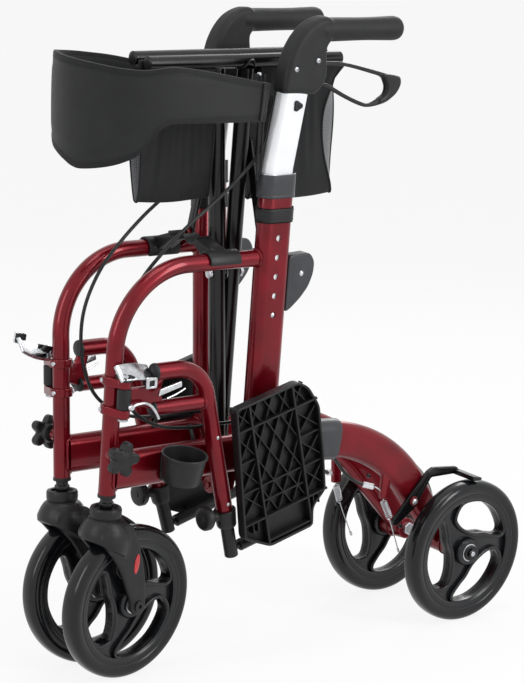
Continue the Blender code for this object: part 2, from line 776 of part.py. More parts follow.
def snap_button_solid():
    """Spring button: a head in the tube's hole on a foot that stays inside the tube."""
    face = UPRIGHT_WIDE / 2 - UPRIGHT_WALL + 1.0
    inside = HANDLE_WIDE / 2 - HANDLE_WALL - GAP
    head = rod((inside - 1, UPRIGHT_Y, BUTTON_W), (face, UPRIGHT_Y, BUTTON_W), BUTTON_R - 0.5, 10)
    foot = rod((inside - 3, UPRIGHT_Y, BUTTON_W), (inside, UPRIGHT_Y, BUTTON_W), BUTTON_R + 2, 10)
    return fuse(head, foot)


def build_handle(side):
    y, w = LEVER_PIVOT
    place(f"handle_tube_{side}", handle_tube_solid(), side, "silver", at=(0, UPRIGHT_Y, HANDLE_FOOT_W))
    place(f"grip_{side}", grip_solid(), side, "black", at=(0, UPRIGHT_Y, HANDLE_FOOT_W))
    place(f"brake_lever_{side}", lever_solid(), side, "black", at=(0, y, w))
    place(f"snap_button_{side}", snap_button_solid(), side, "chrome", at=(0, UPRIGHT_Y, BUTTON_W))


# Footrests

def leg_axes():
    """Directions down the leg and across it, in the (y, w) plane."""
    lean = math.radians(LEG_LEAN)
    return Vector((math.sin(lean), -math.cos(lean))), Vector((math.cos(lean), math.sin(lean)))


def on_leg(down, across=0.0):
    along, side = leg_axes()
    return Vector(LEG_FOOT) + along * down + side * across


def hanger_solid():
    drop = (HANGER_TOP_W - LEG_FOOT[1]) / math.cos(math.radians(LEG_LEAN))
    corner = on_leg(-drop)
    line = bent([(HANGER_FRONT_Y, HANGER_TOP_W), tuple(corner), LEG_FOOT], 52, 13)
    tube = bar(line, circle(HANGER_R, 12), HINGE_U)
    low_end = on_leg(-(HANGER_LOW_W - LEG_FOOT[1]) / math.cos(math.radians(LEG_LEAN)))
    low = bar([(HANGER_FRONT_Y, HANGER_LOW_W), (low_end.x, HANGER_LOW_W)], circle(9.5, 10), HINGE_U)
    ring_low, ring_high = HINGE_RING_W
    bottom = ring_low + HINGE_RING_HALF + 0.5
    top = ring_high - HINGE_RING_HALF - 0.5
    sleeve = rod((HINGE_U, 0, bottom), (HINGE_U, 0, top), 9, 12)
    outline = [(2, bottom), (2, top), (58, top), (70, HANGER_TOP_W - 5), (96, HANGER_TOP_W - 5),
               (96, HANGER_LOW_W + 3), (66, HANGER_LOW_W - 3), (44, bottom)]
    web = slab(outline, HINGE_U - 3, HINGE_U + 3)
    fuse(tube, low, sleeve, web)
    pin_bore = hole((HINGE_U, 0, ring_low), (HINGE_U, 0, ring_high), HINGE_PIN_R)
    top_end = on_leg(-95)
    bottom_end = on_leg(5)
    bore = hole((HINGE_U, *top_end), (HINGE_U, *bottom_end), EXTENSION_R)
    return cut(tube, pin_bore, bore)


def extension_solid():
    """Inner leg tube with the cup that grips the leg, the lock disc and the footplate's pin."""
    along, across = leg_axes()
    top = on_leg(-EXTENSION_TRAVEL - 22)
    foot = on_leg(PLATE_PIVOT_DROP + 9)
    pivot = on_leg(PLATE_PIVOT_DROP)
    inner = rod((HINGE_U, *top), (HINGE_U, *foot), EXTENSION_R, 12)
    cup = rod((HINGE_U, *on_leg(-12)), (HINGE_U, *on_leg(12)), 15, 14, 13)
    stub = rod((HINGE_U, on_leg(0).x - 8, 207), (HINGE_U, 144, 207), 6.5, 8)
    disc = turned([(16, 0), (16, 9), (13, 12)], (HINGE_U, 147, 207), (0, -1, 0), 14)
    pin_end = on_leg(PLATE_PIVOT_DROP, 127)
    pin = rod((HINGE_U, *pivot), (HINGE_U, *pin_end), PLATE_PIN_R, 10)
    cap = rod((HINGE_U, *on_leg(PLATE_PIVOT_DROP, 124)), (HINGE_U, *pin_end), 7, 10)
    cup_bore = rod((HINGE_U, *on_leg(-16)), (HINGE_U, *on_leg(0.4)), HANGER_R + 0.5, 12)
    cut(fuse(cup, stub), cup_bore)
    return fuse(inner, cup, disc, pin, cap)


PLATE_OUTLINE = [(5, 20), (22, 200), (127, 200), (142, 187), (155, 156), (152, 92), (146, 36),
                 (122, 20), (117, -6), (44, -6)]
PLATE_WINDOW = (44.0, 116.0, 37.0, 167.0)
PLATE_CELLS = 3


def rib(start, end, wide, low, high):
    a = Vector(start)
    b = Vector(end)
    side = Vector((-(b - a).y, (b - a).x)).normalized() * (wide / 2)
    return slab([tuple(a + side), tuple(b + side), tuple(b - side), tuple(a - side)], low, high)


def plate_ribs():
    """Lattice on the underside: two long ribs, cross ribs and crossing diagonals between them."""
    left, right, low, high = PLATE_WINDOW
    skin = PLATE_U[0] + PLATE_SKIN - 0.5
    top = PLATE_U[1] - 1.0
    lines = [((left, -4), (left, 198)), ((right, -4), (right, 198)), ((12, low), (150, low)),
             ((18, high), (152, high))]
    step = (high - low) / PLATE_CELLS
    for i in range(1, PLATE_CELLS):
        lines.append(((15, low + step * i), (left, low + step * i)))
        lines.append(((right, low + step * i), (152, low + step * i)))
    middle = (left + right) / 2
    for i in range(PLATE_CELLS):
        base = low + step * i
        lines.append(((left, base), (middle, base + step)))
        lines.append(((middle, base + step), (right, base)))
        if i < PLATE_CELLS - 1:
            lines.append(((left, base + 2 * step), (middle, base + step)))
            lines.append(((middle, base + step), (right, base + 2 * step)))
    return [rib(a, b, PLATE_RIB, skin, top) for a, b in lines]


def footplate_solid():
    """Drawn with y across the leg and w up it from the pivot, then leant over onto the leg."""
    skin = PLATE_U[0] + PLATE_SKIN
    outline = rounded(PLATE_OUTLINE, 6, 1)
    plate = slab(outline, PLATE_U[0], PLATE_U[1])
    cut(plate, slab(inset(outline, 3.2), skin, PLATE_U[1] + 5))
    barrel = rod((HINGE_U, 14, 0), (HINGE_U, 119, 0), 8, 14)
    web = slab([(44, -6), (119, -6), (119, 7), (44, 7)], HINGE_U, PLATE_U[0] + 1.5)
    outer_edge = slab(outline, PLATE_U[0] - 1, PLATE_U[1] + 1)
    inside = combine(plate_ribs_joined(), [outer_edge], "INTERSECT")
    fuse(plate, barrel, web, inside)
    cut(plate, hole((HINGE_U, 5, 0), (HINGE_U, 125, 0), PLATE_PIN_R))
    pivot = on_leg(PLATE_PIVOT_DROP)
    lean = Matrix.Rotation(math.radians(LEG_LEAN), 4, "X")
    plate.data.transform(Matrix.Translation((0, pivot.x, pivot.y)) @ lean)
    return plate


def plate_ribs_joined():
    ribs = plate_ribs()
    return fuse(ribs[0], *ribs[1:])


def latch_solid():
    """Toggle paddle over the hinge, on the pin of the upper ring."""
    y, w = LATCH_PIVOT
    outline = [(y - 4, w - 4), (y - 5.5, w + 2), (y - 2, w + 5), (y + 22, w + 5), (y + 45, w - 2),
               (y + 48, w - 6), (y + 45, w - 9), (y + 22, w - 1.5), (y + 8, w + 0.5), (y + 4, w - 4)]
    body = slab(outline, HINGE_U - 12, HINGE_U + 12, chamfer=0.6)
    ear_room = slab([(y - 12, w - 12), (y - 12, w + 9), (y + 11, w + 9), (y + 11, w - 12)],
                    HINGE_U - 2.5, HINGE_U + 2.5)
    return cut(body, ear_room, hole((0, y, w), (60, y, w), LATCH_PIN_R, 10))


def build_footrest(side):
    y, w = LATCH_PIVOT
    place(f"footrest_hanger_{side}", hanger_solid(), side, "red", at=(HINGE_U, 0, HANGER_TOP_W))
    place(f"leg_extension_{side}", extension_solid(), side, "black", at=(HINGE_U, *LEG_FOOT))
    pivot = on_leg(PLATE_PIVOT_DROP)
    place(f"footplate_{side}", footplate_solid(), side, "black", at=(HINGE_U, *pivot))
    place(f"hanger_latch_{side}", latch_solid(), side, "chrome", at=(HINGE_U, y, w),
          turn=(LATCH_TURN[side], 0, 0))


def star_knob_solid():
    points = []
    for i in range(25):
        angle = math.tau * i / 25
        radius = 20.5 + 4.0 * math.cos(5 * angle)
        points.append((-2 + radius * math.cos(angle), 307 + radius * math.sin(angle)))
    head = slab(points, 26, 39, chamfer=1.6)
    start = POST_R + 2.5 + GAP
    collar = rod((start + 5, -2, 307), (28, -2, 307), 12, 14)
    stem = rod((start, -2, 307), (28, -2, 307), 5, 10)
    return fuse(head, collar, stem)


def build_knob(side):
    place(f"star_knob_{side}", star_knob_solid(), side, "black", at=(26, -2, 307))


# Brake arm, return spring and cable

def brake_arm_solid():
    y, w = BRAKE_PIVOT
    axle_w = wheel_height(0.0, REAR_WHEEL_U)
    tread_top = axle_w + WHEEL_R
    shoe_w = tread_top + BRAKE_CLEAR
    outline = [(478, 146), (486, 146), (y + 6, w - 10), (543, 208), (592, shoe_w), (596, shoe_w + 4),
               (590, shoe_w + 10), (545, 222), (536, 218), (y - 8, w + 6), (478, 154)]
    arm = slab(rounded(outline, 2, 1), *BRAKE_ARM_U)
    shoe = slab([(584, shoe_w), (600, shoe_w), (600, shoe_w + 4), (584, shoe_w + 7)],
                BRAKE_ARM_U[0] + 1, REAR_WHEEL_U + TYRE_HALF)
    fuse(arm, shoe)
    return cut(arm, hole((0, y, w), (30, y, w), BRAKE_PIN_R))


def spring_curve(side):
    """Return spring under the cable adjuster, one unbroken coil."""
    start = Vector((4.5, 469.0, 179.0))
    end = Vector((8.5, 479.0, 156.0))
    along = (end - start).normalized()
    one = along.cross(Vector((1, 0, 0))).normalized()
    two = along.cross(one)
    turns = 4
    lap = 8
    steps = turns * lap
    points = [Vector((4.5, 469.0, 182.8))]
    for i in range(steps + 1):
        t = i / steps
        angle = math.tau * turns * t
        middle = start + (end - start) * t
        points.append(middle + (one * math.cos(angle) + two * math.sin(angle)) * 4.2)
    least = min((points[i + lap] - points[i]).length for i in range(1, steps - lap + 2)) - 1.6
    points.append(Vector((BRAKE_ARM_U[0] - 1.1, 482.0, 150.0)))
    print(f"return_spring_{side}: least gap between turns {least:.2f} mm")
    return points


def smooth(points, count):
    """Evenly spaced points on a smooth curve through the points given."""
    ends = [points[0] * 2 - points[1]] + points + [points[-1] * 2 - points[-2]]
    fine = []
    for a, b, c, d in zip(ends, ends[1:], ends[2:], ends[3:]):
        for i in range(12):
            t = i / 12
            fine.append(0.5 * ((2 * b) + (c - a) * t + (2 * a - 5 * b + 4 * c - d) * t ** 2
                               + (3 * b - a - 3 * c + d) * t ** 3))
    fine.append(points[-1])
    lengths = [0.0]
    for a, b in zip(fine, fine[1:]):
        lengths.append(lengths[-1] + (b - a).length)
    result = []
    k = 0
    for i in range(count):
        goal = lengths[-1] * i / (count - 1)
        while k < len(fine) - 2 and lengths[k + 1] < goal:
            k += 1
        share = (goal - lengths[k]) / max(1e-9, lengths[k + 1] - lengths[k])
        result.append(fine[k].lerp(fine[k + 1], min(1.0, share)))
    return result


CABLE_ROUTE = [
    (-17, 236, 742), (-18, 233, 720), (-19, 224, 676), (-19, 190, 641), (-20, 156, 613),
    (-20, 119, 587), (-20, 82, 556), (-20, 48, 520), (-20, 24, 475), (-19, 18, 430), (-18, 26, 385),
    (-18, 48, 350), (-18, 91, 326), (-18, 140, 319), (-18, 175, 319), (-18, 262, 314), (-18, 320, 300),
    (-20, 372, 268), (-18, 415, 220), (-10, 440, 204), (1, 453, 202),
]


def add_curve(name, points, radius, resolution, home, finish, at):
    empty, mirrored = HOMES[home]
    curve = bpy.data.curves.new(name, "CURVE")
    curve.dimensions = "3D"
    curve.bevel_depth = radius * MM
    curve.bevel_resolution = resolution
    curve.use_fill_caps = True
    spline = curve.splines.new("POLY")
    spline.points.add(len(points) - 1)
    sign = -1 if mirrored else 1
    for place_point, point in zip(spline.points, points):
        moved = (Vector(point) - Vector(at)) * MM
        place_point.co = (sign * moved.x, moved.y, moved.z, 1)
    made = bpy.data.objects.new(name, curve)
    bpy.context.scene.collection.objects.link(made)
    made.parent = empty
    made.location = Vector((sign * at[0], at[1], at[2])) * MM
    curve.materials.append(material_of(name, finish))
    return made


def build_brake(side):
    y, w = BRAKE_PIVOT
    place(f"brake_arm_{side}", brake_arm_solid(), side, "black", at=(BRAKE_ARM_U[0], y, w))
    add_curve(f"return_spring_{side}", spring_curve(side), 0.8, 1, side, "chrome", (4.5, 469, 182))
    route = smooth([Vector(p) for p in CABLE_ROUTE], 36)
    add_curve(f"brake_cable_{side}", route, CABLE_R, 2, side, "black", CABLE_ROUTE[-1])


# Folding cross, seat rails and links

def cross_angle(height):
    """Lean of the cross tubes when the seat rails stand at a height."""
    return math.acos((height - CROSS_PIVOT_W) / (2 * CROSS_HALF))


def rest_angle():
    return math.asin(CROSS_PIVOT_X / CROSS_HALF)


def cross_top_w():
    return CROSS_PIVOT_W + 2 * CROSS_HALF * math.cos(rest_angle())


def link_reach():
    """How far above the centre pivot a link meets its tube, so that one length suits the frame both
    folded and open."""
    shut = rest_angle()
    wide = cross_angle(SEAT_OPEN_W)
    rise = LINK_PIN[1] - CROSS_PIVOT_W
    out = LINK_PIN[0] - CROSS_PIVOT_X
    sines = math.sin(shut) - math.sin(wide)
    cosines = math.cos(shut) - math.cos(wide)
    doubles = math.cos(2 * shut) - math.cos(2 * wide)
    return CROSS_HALF * (rise * cosines - out * sines) / (CROSS_HALF * doubles - out * sines - rise * cosines)


def cross_solid(foot_sign, y):
    """One tube of the cross, its foot on the side given, its head under the other side's rail."""
    lean = rest_angle()
    middle = Vector((0, y, CROSS_PIVOT_W + CROSS_HALF * math.cos(lean)))
    along = Vector((-foot_sign * math.sin(lean), 0, math.cos(lean)))
    tube = rod(middle - along * (CROSS_HALF + 10), middle + along * CROSS_HALF, CROSS_R, 14)
    head = middle + along * CROSS_HALF
    rail = rod((head.x, 0, head.z), (head.x, 500, head.z), SEAT_RAIL_R + 2 * GAP, 16)
    top = slab([(head.x - 20, head.z), (head.x + 20, head.z), (head.x + 20, head.z + 20),
                (head.x - 20, head.z + 20)], y - 20, y + 20, "y")
    foot = middle - along * CROSS_HALF
    holes = [hole((p.x, y - 20, p.z), (p.x, y + 20, p.z), PIVOT_BOLT_R) for p in (middle, foot)]
    return cut(tube, rail, top, *holes)


def seat_rail_solid(sign):
    x = sign * CROSS_PIVOT_X
    z = cross_top_w()
    start = SEAT_RAIL_FRONT_Y
    length = SEAT_RAIL_REAR_Y - start
    profile = [(SEAT_RAIL_R - 3, 0), (SEAT_RAIL_R, 2), (SEAT_RAIL_R, length - 2), (SEAT_RAIL_R - 3, length)]
    return turned(profile, (x, start, z), (0, 1, 0), 16)


def centre_pivot_solid():
    z = CROSS_PIVOT_W + CROSS_HALF * math.cos(rest_angle())
    front = CROSS_Y["right"] - CROSS_R
    rear = CROSS_Y["left"] + CROSS_R
    bolt = rod((0, front - 4, z), (0, rear + 5, z), PIVOT_BOLT_R, 10)
    head = rod((0, front - 5, z), (0, front - 0.4, z), 7, 10)
    nut = rod((0, rear + 0.4, z), (0, rear + 5.5, z), 7.5, 6)
    gap_start = CROSS_Y["right"] + CROSS_R + 0.3
    gap_end = CROSS_Y["left"] - CROSS_R - 0.3
    washer = rod((0, gap_start, z), (0, gap_end, z), 9, 14)
    return fuse(bolt, head, nut, washer)


def link_solid(side):
    """Flat link from this half's frame to the tube that carries this half's seat rail, in the
    chair's own x and height, seen on the left."""
    start, end = link_plane(side)
    lean = rest_angle()
    reach = link_reach()
    high = (math.sin(lean) * reach, CROSS_PIVOT_W + math.cos(lean) * (CROSS_HALF + reach))
    low = LINK_PIN
    along = Vector(high) - Vector(low)
    angle = math.degrees(math.atan2(along.y, along.x))
    outline = arc(high, LINK_WIDE / 2, angle - 90, angle + 90, 6)
    outline += arc(low, LINK_WIDE / 2, angle + 90, angle + 270, 6)
    body = slab(outline, start, end, "y")
    rivet_side = 1 if side == "left" else -1
    near = end if side == "left" else start
    rivet = rod((high[0], near - rivet_side, high[1]), (high[0], near + rivet_side * 2.5, high[1]), 5.5, 10)
    fuse(body, rivet)
    return cut(body, hole((low[0], start - 5, low[1]), (low[0], end + 5, low[1]), LINK_PIN_R))


def build_cross():
    place("cross_tube_right", cross_solid(1, CROSS_Y["right"]), "centre", "tube_black",
          at=(CROSS_PIVOT_X, CROSS_Y["right"], CROSS_PIVOT_W))
    middle = (0, CROSS_Y["left"], CROSS_PIVOT_W + CROSS_HALF * math.cos(rest_angle()))
    place("cross_tube_left", cross_solid(-1, CROSS_Y["left"]), "centre", "tube_black", at=middle)
    for sign, side in ((1, "left"), (-1, "right")):
        place(f"seat_rail_{side}", seat_rail_solid(sign), "centre", "tube_black",
              at=(sign * CROSS_PIVOT_X, SEAT_RAIL_FRONT_Y, cross_top_w()))
    place("centre_pivot", centre_pivot_solid(), "centre", "chrome", at=middle)
    for side, home in (("left", "centre"), ("right", "centre_mirrored")):
        place(f"fold_link_{side}", link_solid(side), home, "tube_black",
              at=(LINK_PIN[0], link_plane(side)[0], LINK_PIN[1]))


# Cup, strap and seat cloth

def cup_solid():
    u, y, w = CUP_AT
    profile = [(CUP_BASE_R, 0), (CUP_RIM_R - 1.5, CUP_DEEP - 4), (CUP_RIM_R, CUP_DEEP - 4),
               (CUP_RIM_R, CUP_DEEP), (CUP_RIM_R - CUP_WALL, CUP_DEEP), (CUP_BASE_R - CUP_WALL, CUP_WALL)]
    cup = turned(profile, (0, 0, 0), (0, 0, 1), 20)
    cup.data.transform(Matrix.Translation((u, y, w)) @ Matrix.Rotation(math.radians(7), 4, "Y"))
    face = RAIL_WIDE / 2 + GAP
    outline = rounded([(y - 11, w - 6), (y + 11, w - 6), (y + 11, w + 34), (y - 11, w + 34)], 3, 1)
    bracket = slab(outline, face, u - CUP_BASE_R + 0.5)
    inner_wall = turned([(CUP_BASE_R - 0.8, CUP_WALL), (CUP_RIM_R - 1.6, CUP_DEEP + 5)], (0, 0, 0),
                        (0, 0, 1), 20)
    inner_wall.data.transform(Matrix.Translation((u, y, w)) @ Matrix.Rotation(math.radians(7), 4, "Y"))
    cut(bracket, inner_wall)
    return fuse(cup, bracket)


def strap_level(t):
    """Top and bottom height of the strap, from its end (t 0) to its front middle (t 1)."""
    ease = min(1.0, max(0.0, (t - 0.48) / 0.2))
    ease = ease * ease * (3 - 2 * ease)
    top = 762 + 28 * min(1.0, t / 0.42) + 9 * max(0.0, (t - 0.65) / 0.35)
    bottom = 718 + 5 * min(1.0, t / 0.4) - 44 * ease - 13 * min(1.0, max(0.0, (t - 0.68) / 0.2))
    return top, bottom


def strap_plan(t):
    """Plan place of the strap's middle: straight back to the handles, half an oval in front."""
    share = t / STRAP_STRAIGHT
    if share < 1:
        bulge = math.sin(share * math.pi / 2)
        x = STRAP_END_X + (STRAP_HALF_X - STRAP_END_X) * bulge
        return x, STRAP_END_Y - (STRAP_END_Y - STRAP_LOOP_Y) * share
    angle = (t - STRAP_STRAIGHT) / (1 - STRAP_STRAIGHT) * math.pi / 2
    return STRAP_HALF_X * math.cos(angle), STRAP_LOOP_Y - STRAP_LOOP_DEEP * math.sin(angle)


def strap_solid():
    half = [i / 13 for i in range(14)]
    stations = [(1, t) for t in half] + [(-1, t) for t in reversed(half[:-1])]
    middle = []
    for sign, t in stations:
        x, y = strap_plan(t)
        middle.append(Vector((sign * x, y, 0)))
    rings = []
    for i, (_, t) in enumerate(stations):
        before = middle[max(0, i - 1)]
        after = middle[min(len(middle) - 1, i + 1)]
        along = (after - before).normalized()
        out = Vector((along.y, -along.x, 0))
        top, bottom = strap_level(t)
        height = top - bottom
        pad = STRAP_THICK / 2 * (0.55 + 0.45 * min(1.0, t / 0.4))
        rake = math.tan(math.radians(HANDLE_LEAN)) * max(0.0, 1 - t / 0.25)
        ring = []
        for across, level in ((-0.5, 0), (-1, 0.12), (-1, 0.88), (-0.5, 1), (0.5, 1), (1, 0.88),
                              (1, 0.12), (0.5, 0)):
            rise = height * level
            ring.append(middle[i] + out * across * pad + Vector((0, rake * rise, bottom + rise)))
        rings.append(ring)
    return bridge(rings)


POUCH = {"front": (61.0, 180.0), "rear": (250.0, 396.0)}
POUCH_TOP = 776.0
POUCH_BOTTOM = 606.0
CLOTH_HALF_TOP = 4.3


def lobe_solid(start, end, flare):
    """One hanging fold of the seat cloth: drawn in at the top and the ends, fuller below, with soft
    upright waves along it."""
    columns = 9
    rows = 5
    front = []
    back = []
    for i in range(columns + 1):
        s = i / columns
        line_a = []
        line_b = []
        for j in range(rows + 1):
            t = j / rows
            y = start + (end - start) * s
            if flare:
                lean = 9 * t * (1 - s) if flare > 0 else -15 * t * s
                y += lean
            z = POUCH_TOP - (POUCH_TOP - POUCH_BOTTOM) * t - 3 * math.sin(math.pi * s) * t
            full = 2.2 + 8.5 * math.sin(math.pi * min(1, t * 0.85 + 0.06)) ** 0.8
            full *= 0.35 + 0.65 * math.sin(math.pi * (0.04 + 0.92 * s)) ** 0.5
            wave = 1.4 * math.sin(math.tau * 2.0 * s + 0.6) * t
            line_a.append((full + wave, y, z))
            line_b.append((-full + wave, y, z))
        front.append(line_a)
        back.append(line_b)
    rings = [a + b[::-1] for a, b in zip(front, back)]
    return bridge(rings)


def pouch_solid():
    return [lobe_solid(*POUCH["front"], 1), lobe_solid(*POUCH["rear"], -1)]


def seat_cloth_solid():
    """Seat cloth hanging between the rails, one fold in front of the cross and one behind it."""
    top = cross_top_w()
    front, rear = pouch_solid()
    strip = slab(rounded([(64, POUCH_TOP - 8), (178, POUCH_TOP - 8), (184, top - 5), (246, top - 5),
                          (252, POUCH_TOP - 8), (382, POUCH_TOP - 8), (382, top + 6), (64, top + 6)], 2, 1),
                 -CLOTH_HALF_TOP, CLOTH_HALF_TOP)
    return fuse(front, rear, strip)


def build_soft():
    place("cup_holder", cup_solid(), "left", "black", at=CUP_AT)
    place("backrest_strap", strap_solid(), "centre", "cloth")
    place("seat_cloth", seat_cloth_solid(), "centre", "cloth")


def stand_at_origin(root):
    """Moves the chair so that the middle of its base is at the origin."""
    graph = bpy.context.evaluated_depsgraph_get()
    graph.update()
    low = Vector((1e9, 1e9, 1e9))
    high = -low
    for item in bpy.context.scene.objects:
        if item.type not in ("MESH", "CURVE"):
            continue
        view = item.evaluated_get(graph)
        mesh = view.to_mesh()
        for vertex in mesh.vertices:
            point = view.matrix_world @ vertex.co
            low = Vector(map(min, low, point))
            high = Vector(map(max, high, point))
        view.to_mesh_clear()
    root.location = (-(low.x + high.x) / 2, -(low.y + high.y) / 2, -low.z)


def main():
    clear_scene()
    chair = add_empty("chair")
    HOMES["centre"] = (chair, False)
    HOMES["centre_mirrored"] = (chair, True)
    for side, sign in (("left", 1), ("right", -1)):
        empty = add_empty(f"{side}_half", chair, (sign * FOOT_HALF_WIDTH, 0, 0), (0, sign * SPLAY, 0))
        HOMES[side] = (empty, sign < 0)
    for side in ("left", "right"):
        build_frame(side)
        build_handle(side)
        build_footrest(side)
        build_knob(side)
        build_brake(side)
        build_caster(side)
        build_rear_wheel(side)
    build_cross()
    build_soft()
    stand_at_origin(chair)


main()
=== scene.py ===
# Folding walking frame with a seat and swing-away footrests, standing folded: the look of each piece.
#
# Hard pieces are drawn in millimetres in one half's own upright frame: u outwards, y to the rear and
# w up. settle() then leans them onto the left or the right half, in metres.
from math import acos, asin, atan2, cos, degrees, exp, pi, radians, sin, sqrt, tan, tau

import bpy
from mathutils import Matrix, Vector, noise


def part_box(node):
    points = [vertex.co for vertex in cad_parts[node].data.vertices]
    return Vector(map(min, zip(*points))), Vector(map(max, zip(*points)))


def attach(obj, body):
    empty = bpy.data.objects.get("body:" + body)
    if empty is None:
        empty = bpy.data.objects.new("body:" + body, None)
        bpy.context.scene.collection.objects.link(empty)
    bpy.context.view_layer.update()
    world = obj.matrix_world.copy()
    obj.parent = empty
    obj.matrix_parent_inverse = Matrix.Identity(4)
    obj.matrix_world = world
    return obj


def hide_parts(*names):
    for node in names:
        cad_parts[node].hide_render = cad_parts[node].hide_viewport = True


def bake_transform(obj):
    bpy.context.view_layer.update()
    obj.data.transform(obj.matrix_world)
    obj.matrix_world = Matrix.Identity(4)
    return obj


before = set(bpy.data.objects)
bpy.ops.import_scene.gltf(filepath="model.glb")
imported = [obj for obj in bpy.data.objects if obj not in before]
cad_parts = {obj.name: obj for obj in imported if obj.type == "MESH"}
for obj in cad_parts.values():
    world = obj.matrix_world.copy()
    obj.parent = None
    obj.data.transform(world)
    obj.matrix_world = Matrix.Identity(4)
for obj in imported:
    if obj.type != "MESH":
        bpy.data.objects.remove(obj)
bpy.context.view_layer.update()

MM = 0.001
SIDES = ("left", "right")

# Stance, as the frame stands folded
SPLAY = 3.05
FOOT_HALF_WIDTH = 36.5

# Tubes of a side frame
POST_R = 11.1
POST_FOOT_W = 250.0
ARM_W = 541.0
ARM_BEND = 105.0
UPRIGHT_Y = 240.0
UPRIGHT = (50.0, 26.0)
UPRIGHT_WALL = 2.0
UPRIGHT_TOP_W = 620.0
HOLE_PITCH = 25.4
HOLE_COUNT = 5
BUTTON_W = 466.0
BUTTON_R = 4.0
RAIL_W = 282.0
RAIL = (50.0, 25.0)
REAR_BEND = 229.0
RAIL_FROM_Y = 6.0
REAR_BEND_Y = 340.0
REAR_TURN = 52.0
REAR_STRAIGHT = 99.0
REAR_TIP_LONG = 34.0

# Wheels and casters
WHEEL_R = 101.6
TYRE_HALF = 14.0
HUB_HALF = 15.5
HUB_R = 20.0
RIM_INNER_R = 77.0
WEB_HALF = 5.0
WINDOW_WALL = 4.8
WINDOW_WALL_HALF = 10.0
AXLE_R = 6.0
REAR_AXLE_Y = 588.0
REAR_WHEEL_U = 46.0
CASTER_TRAIL = 44.0
CASTER_TURN = {"left": 6.8, "right": 1.5}
STEM_R = 8.0
FORK_TOP_W = 223.0
FORK_DISC_R = 20.5
FORK_LEG_THICK = 7.5

# Handle tube, grip and lever
HANDLE = (45.0, 21.0)
HANDLE_FOOT_W = 446.0
HANDLE_KINK_W = 657.0
HANDLE_LEAN = 9.0
HANDLE_TOP_W = 782.0
GRIP_R = 16.0
GRIP_W = 834.0
GRIP_END_Y = 429.0
GRIP_START_Y = 290.0
PLUG_W = 738.6
HOUSING_SCREWS = ((248.0, 786.0), (283.0, 796.4))

# Cross under the seat
CROSS_PIVOT_X = 16.0
CROSS_PIVOT_W = 232.0
CROSS_HALF = 280.0
CROSS_R = 11.1
CROSS_Y = {"right": 203.0, "left": 227.0}
PIVOT_BOLT_R = 4.0
SEAT_RAIL_R = 11.1
RAIL_SEEN_R = 9.2
SEAT_RAIL_Y = (68.0, 385.0)
SEAT_OPEN_W = 570.0
SADDLE_CLIP_R = 14.8
LINK_PIN = (43.0, 560.0)
LINK_WIDE = 14.0
LINK_THICK = 3.5

# Footrest
HINGE_U = 24.5
HANGER_R = 11.0
HANGER_TOP_W = 413.0
HANGER_LOW_W = 366.0
HANGER_SEEN_Y = 44.0
LEG_FOOT = (175.0, 204.0)
LEG_LEAN = 14.9
HINGE_RING_W = (364.0, 402.0)
HINGE_RING_HALF = 5.5
EXTENSION_R = 9.0
EXTENSION_TRAVEL = 50.0
PLATE_PIVOT_DROP = 47.0
PLATE_U = (40.0, 54.0)
LATCH_PIVOT = (-5.0, 414.0)
LATCH_TURN = {"left": 0.0, "right": 168.0}
PADDLE_LEAN = 42.0
KNOB = (-2.0, 307.0)

# Brake at the rear wheel, and the cup
BRAKE_PIVOT = (512.0, 178.0)
BRAKE_ARM_U = (13.3, 18.3)
BRAKE_CLEAR = 2.2
CABLE_R = 2.4
CUP_AT = (45.0, 82.0, 271.0)
CUP_RIM_R = 30.0
CUP_BASE_R = 25.0
CUP_DEEP = 38.0
CUP_WALL = 2.5

# Strap and seat cloth
STRAP_THICK = 7.0
STRAP_HALF_X = 94.0
STRAP_END_X = 76.0
STRAP_END_Y = 227.0
STRAP_STRAIGHT = 0.45
STRAP_FROM = 0.045
STRAP_STEPS = 90
STRAP_LOOP_Y = 60.0
STRAP_LOOP_DEEP = 100.0
# Each fold of the seat cloth: its front and rear end, how far those draw in below, its lowest height and
# how much sooner its left side ends at the rear
LOBES = {"front": (62.0, 179.0, 9.0, 0.0, 619.0, 0.0), "rear": (252.0, 393.0, 0.0, -3.0, 613.0, 30.0)}
LOBE_TOP = 780.0
HANG_FRAMES = 26
# The two rods in front of a handle that the strap's end is clipped to: (y, foot), and their clip
STRAP_ROD_X = 70.0
STRAP_RODS = ((208.0, 642.0), (214.6, 658.0))
STRAP_ROD_TOP = 776.0
STRAP_BUCKLE = ((207.0, 721.0), (216.0, 738.0))

# Where the chair stands in the frame: its middle, and the y that the drawing counts from
low_left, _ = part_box("seat_rail_left")
_, high_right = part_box("seat_rail_right")
CHAIR = Vector(((low_left.x + high_right.x) / 2, low_left.y - SEAT_RAIL_Y[0] * MM, 0))


def home_matrix(sign, turn=0.0):
    """From the drawing of a half, in millimetres, to its place. The right half is the left mirrored."""
    foot = Matrix.Translation(CHAIR + Vector((sign * FOOT_HALF_WIDTH * MM, 0, 0)))
    lean = Matrix.Rotation(radians(sign * SPLAY), 4, "Y")
    swivel = Matrix.Rotation(radians(sign * turn), 4, "Z")
    return foot @ lean @ swivel @ Matrix.Diagonal((sign * MM, MM, MM, 1))


HOME = {"centre": (Matrix.Translation(CHAIR) @ Matrix.Scale(MM, 4), False),
    "centre_right": (Matrix.Translation(CHAIR) @ Matrix.Diagonal((-MM, MM, MM, 1)), True)}
for side, sign in (("left", 1), ("right", -1)):
    HOME[side] = (home_matrix(sign), sign < 0)
    HOME[f"{side}_caster"] = (home_matrix(sign, CASTER_TURN[side]), sign < 0)


# Lines and outlines

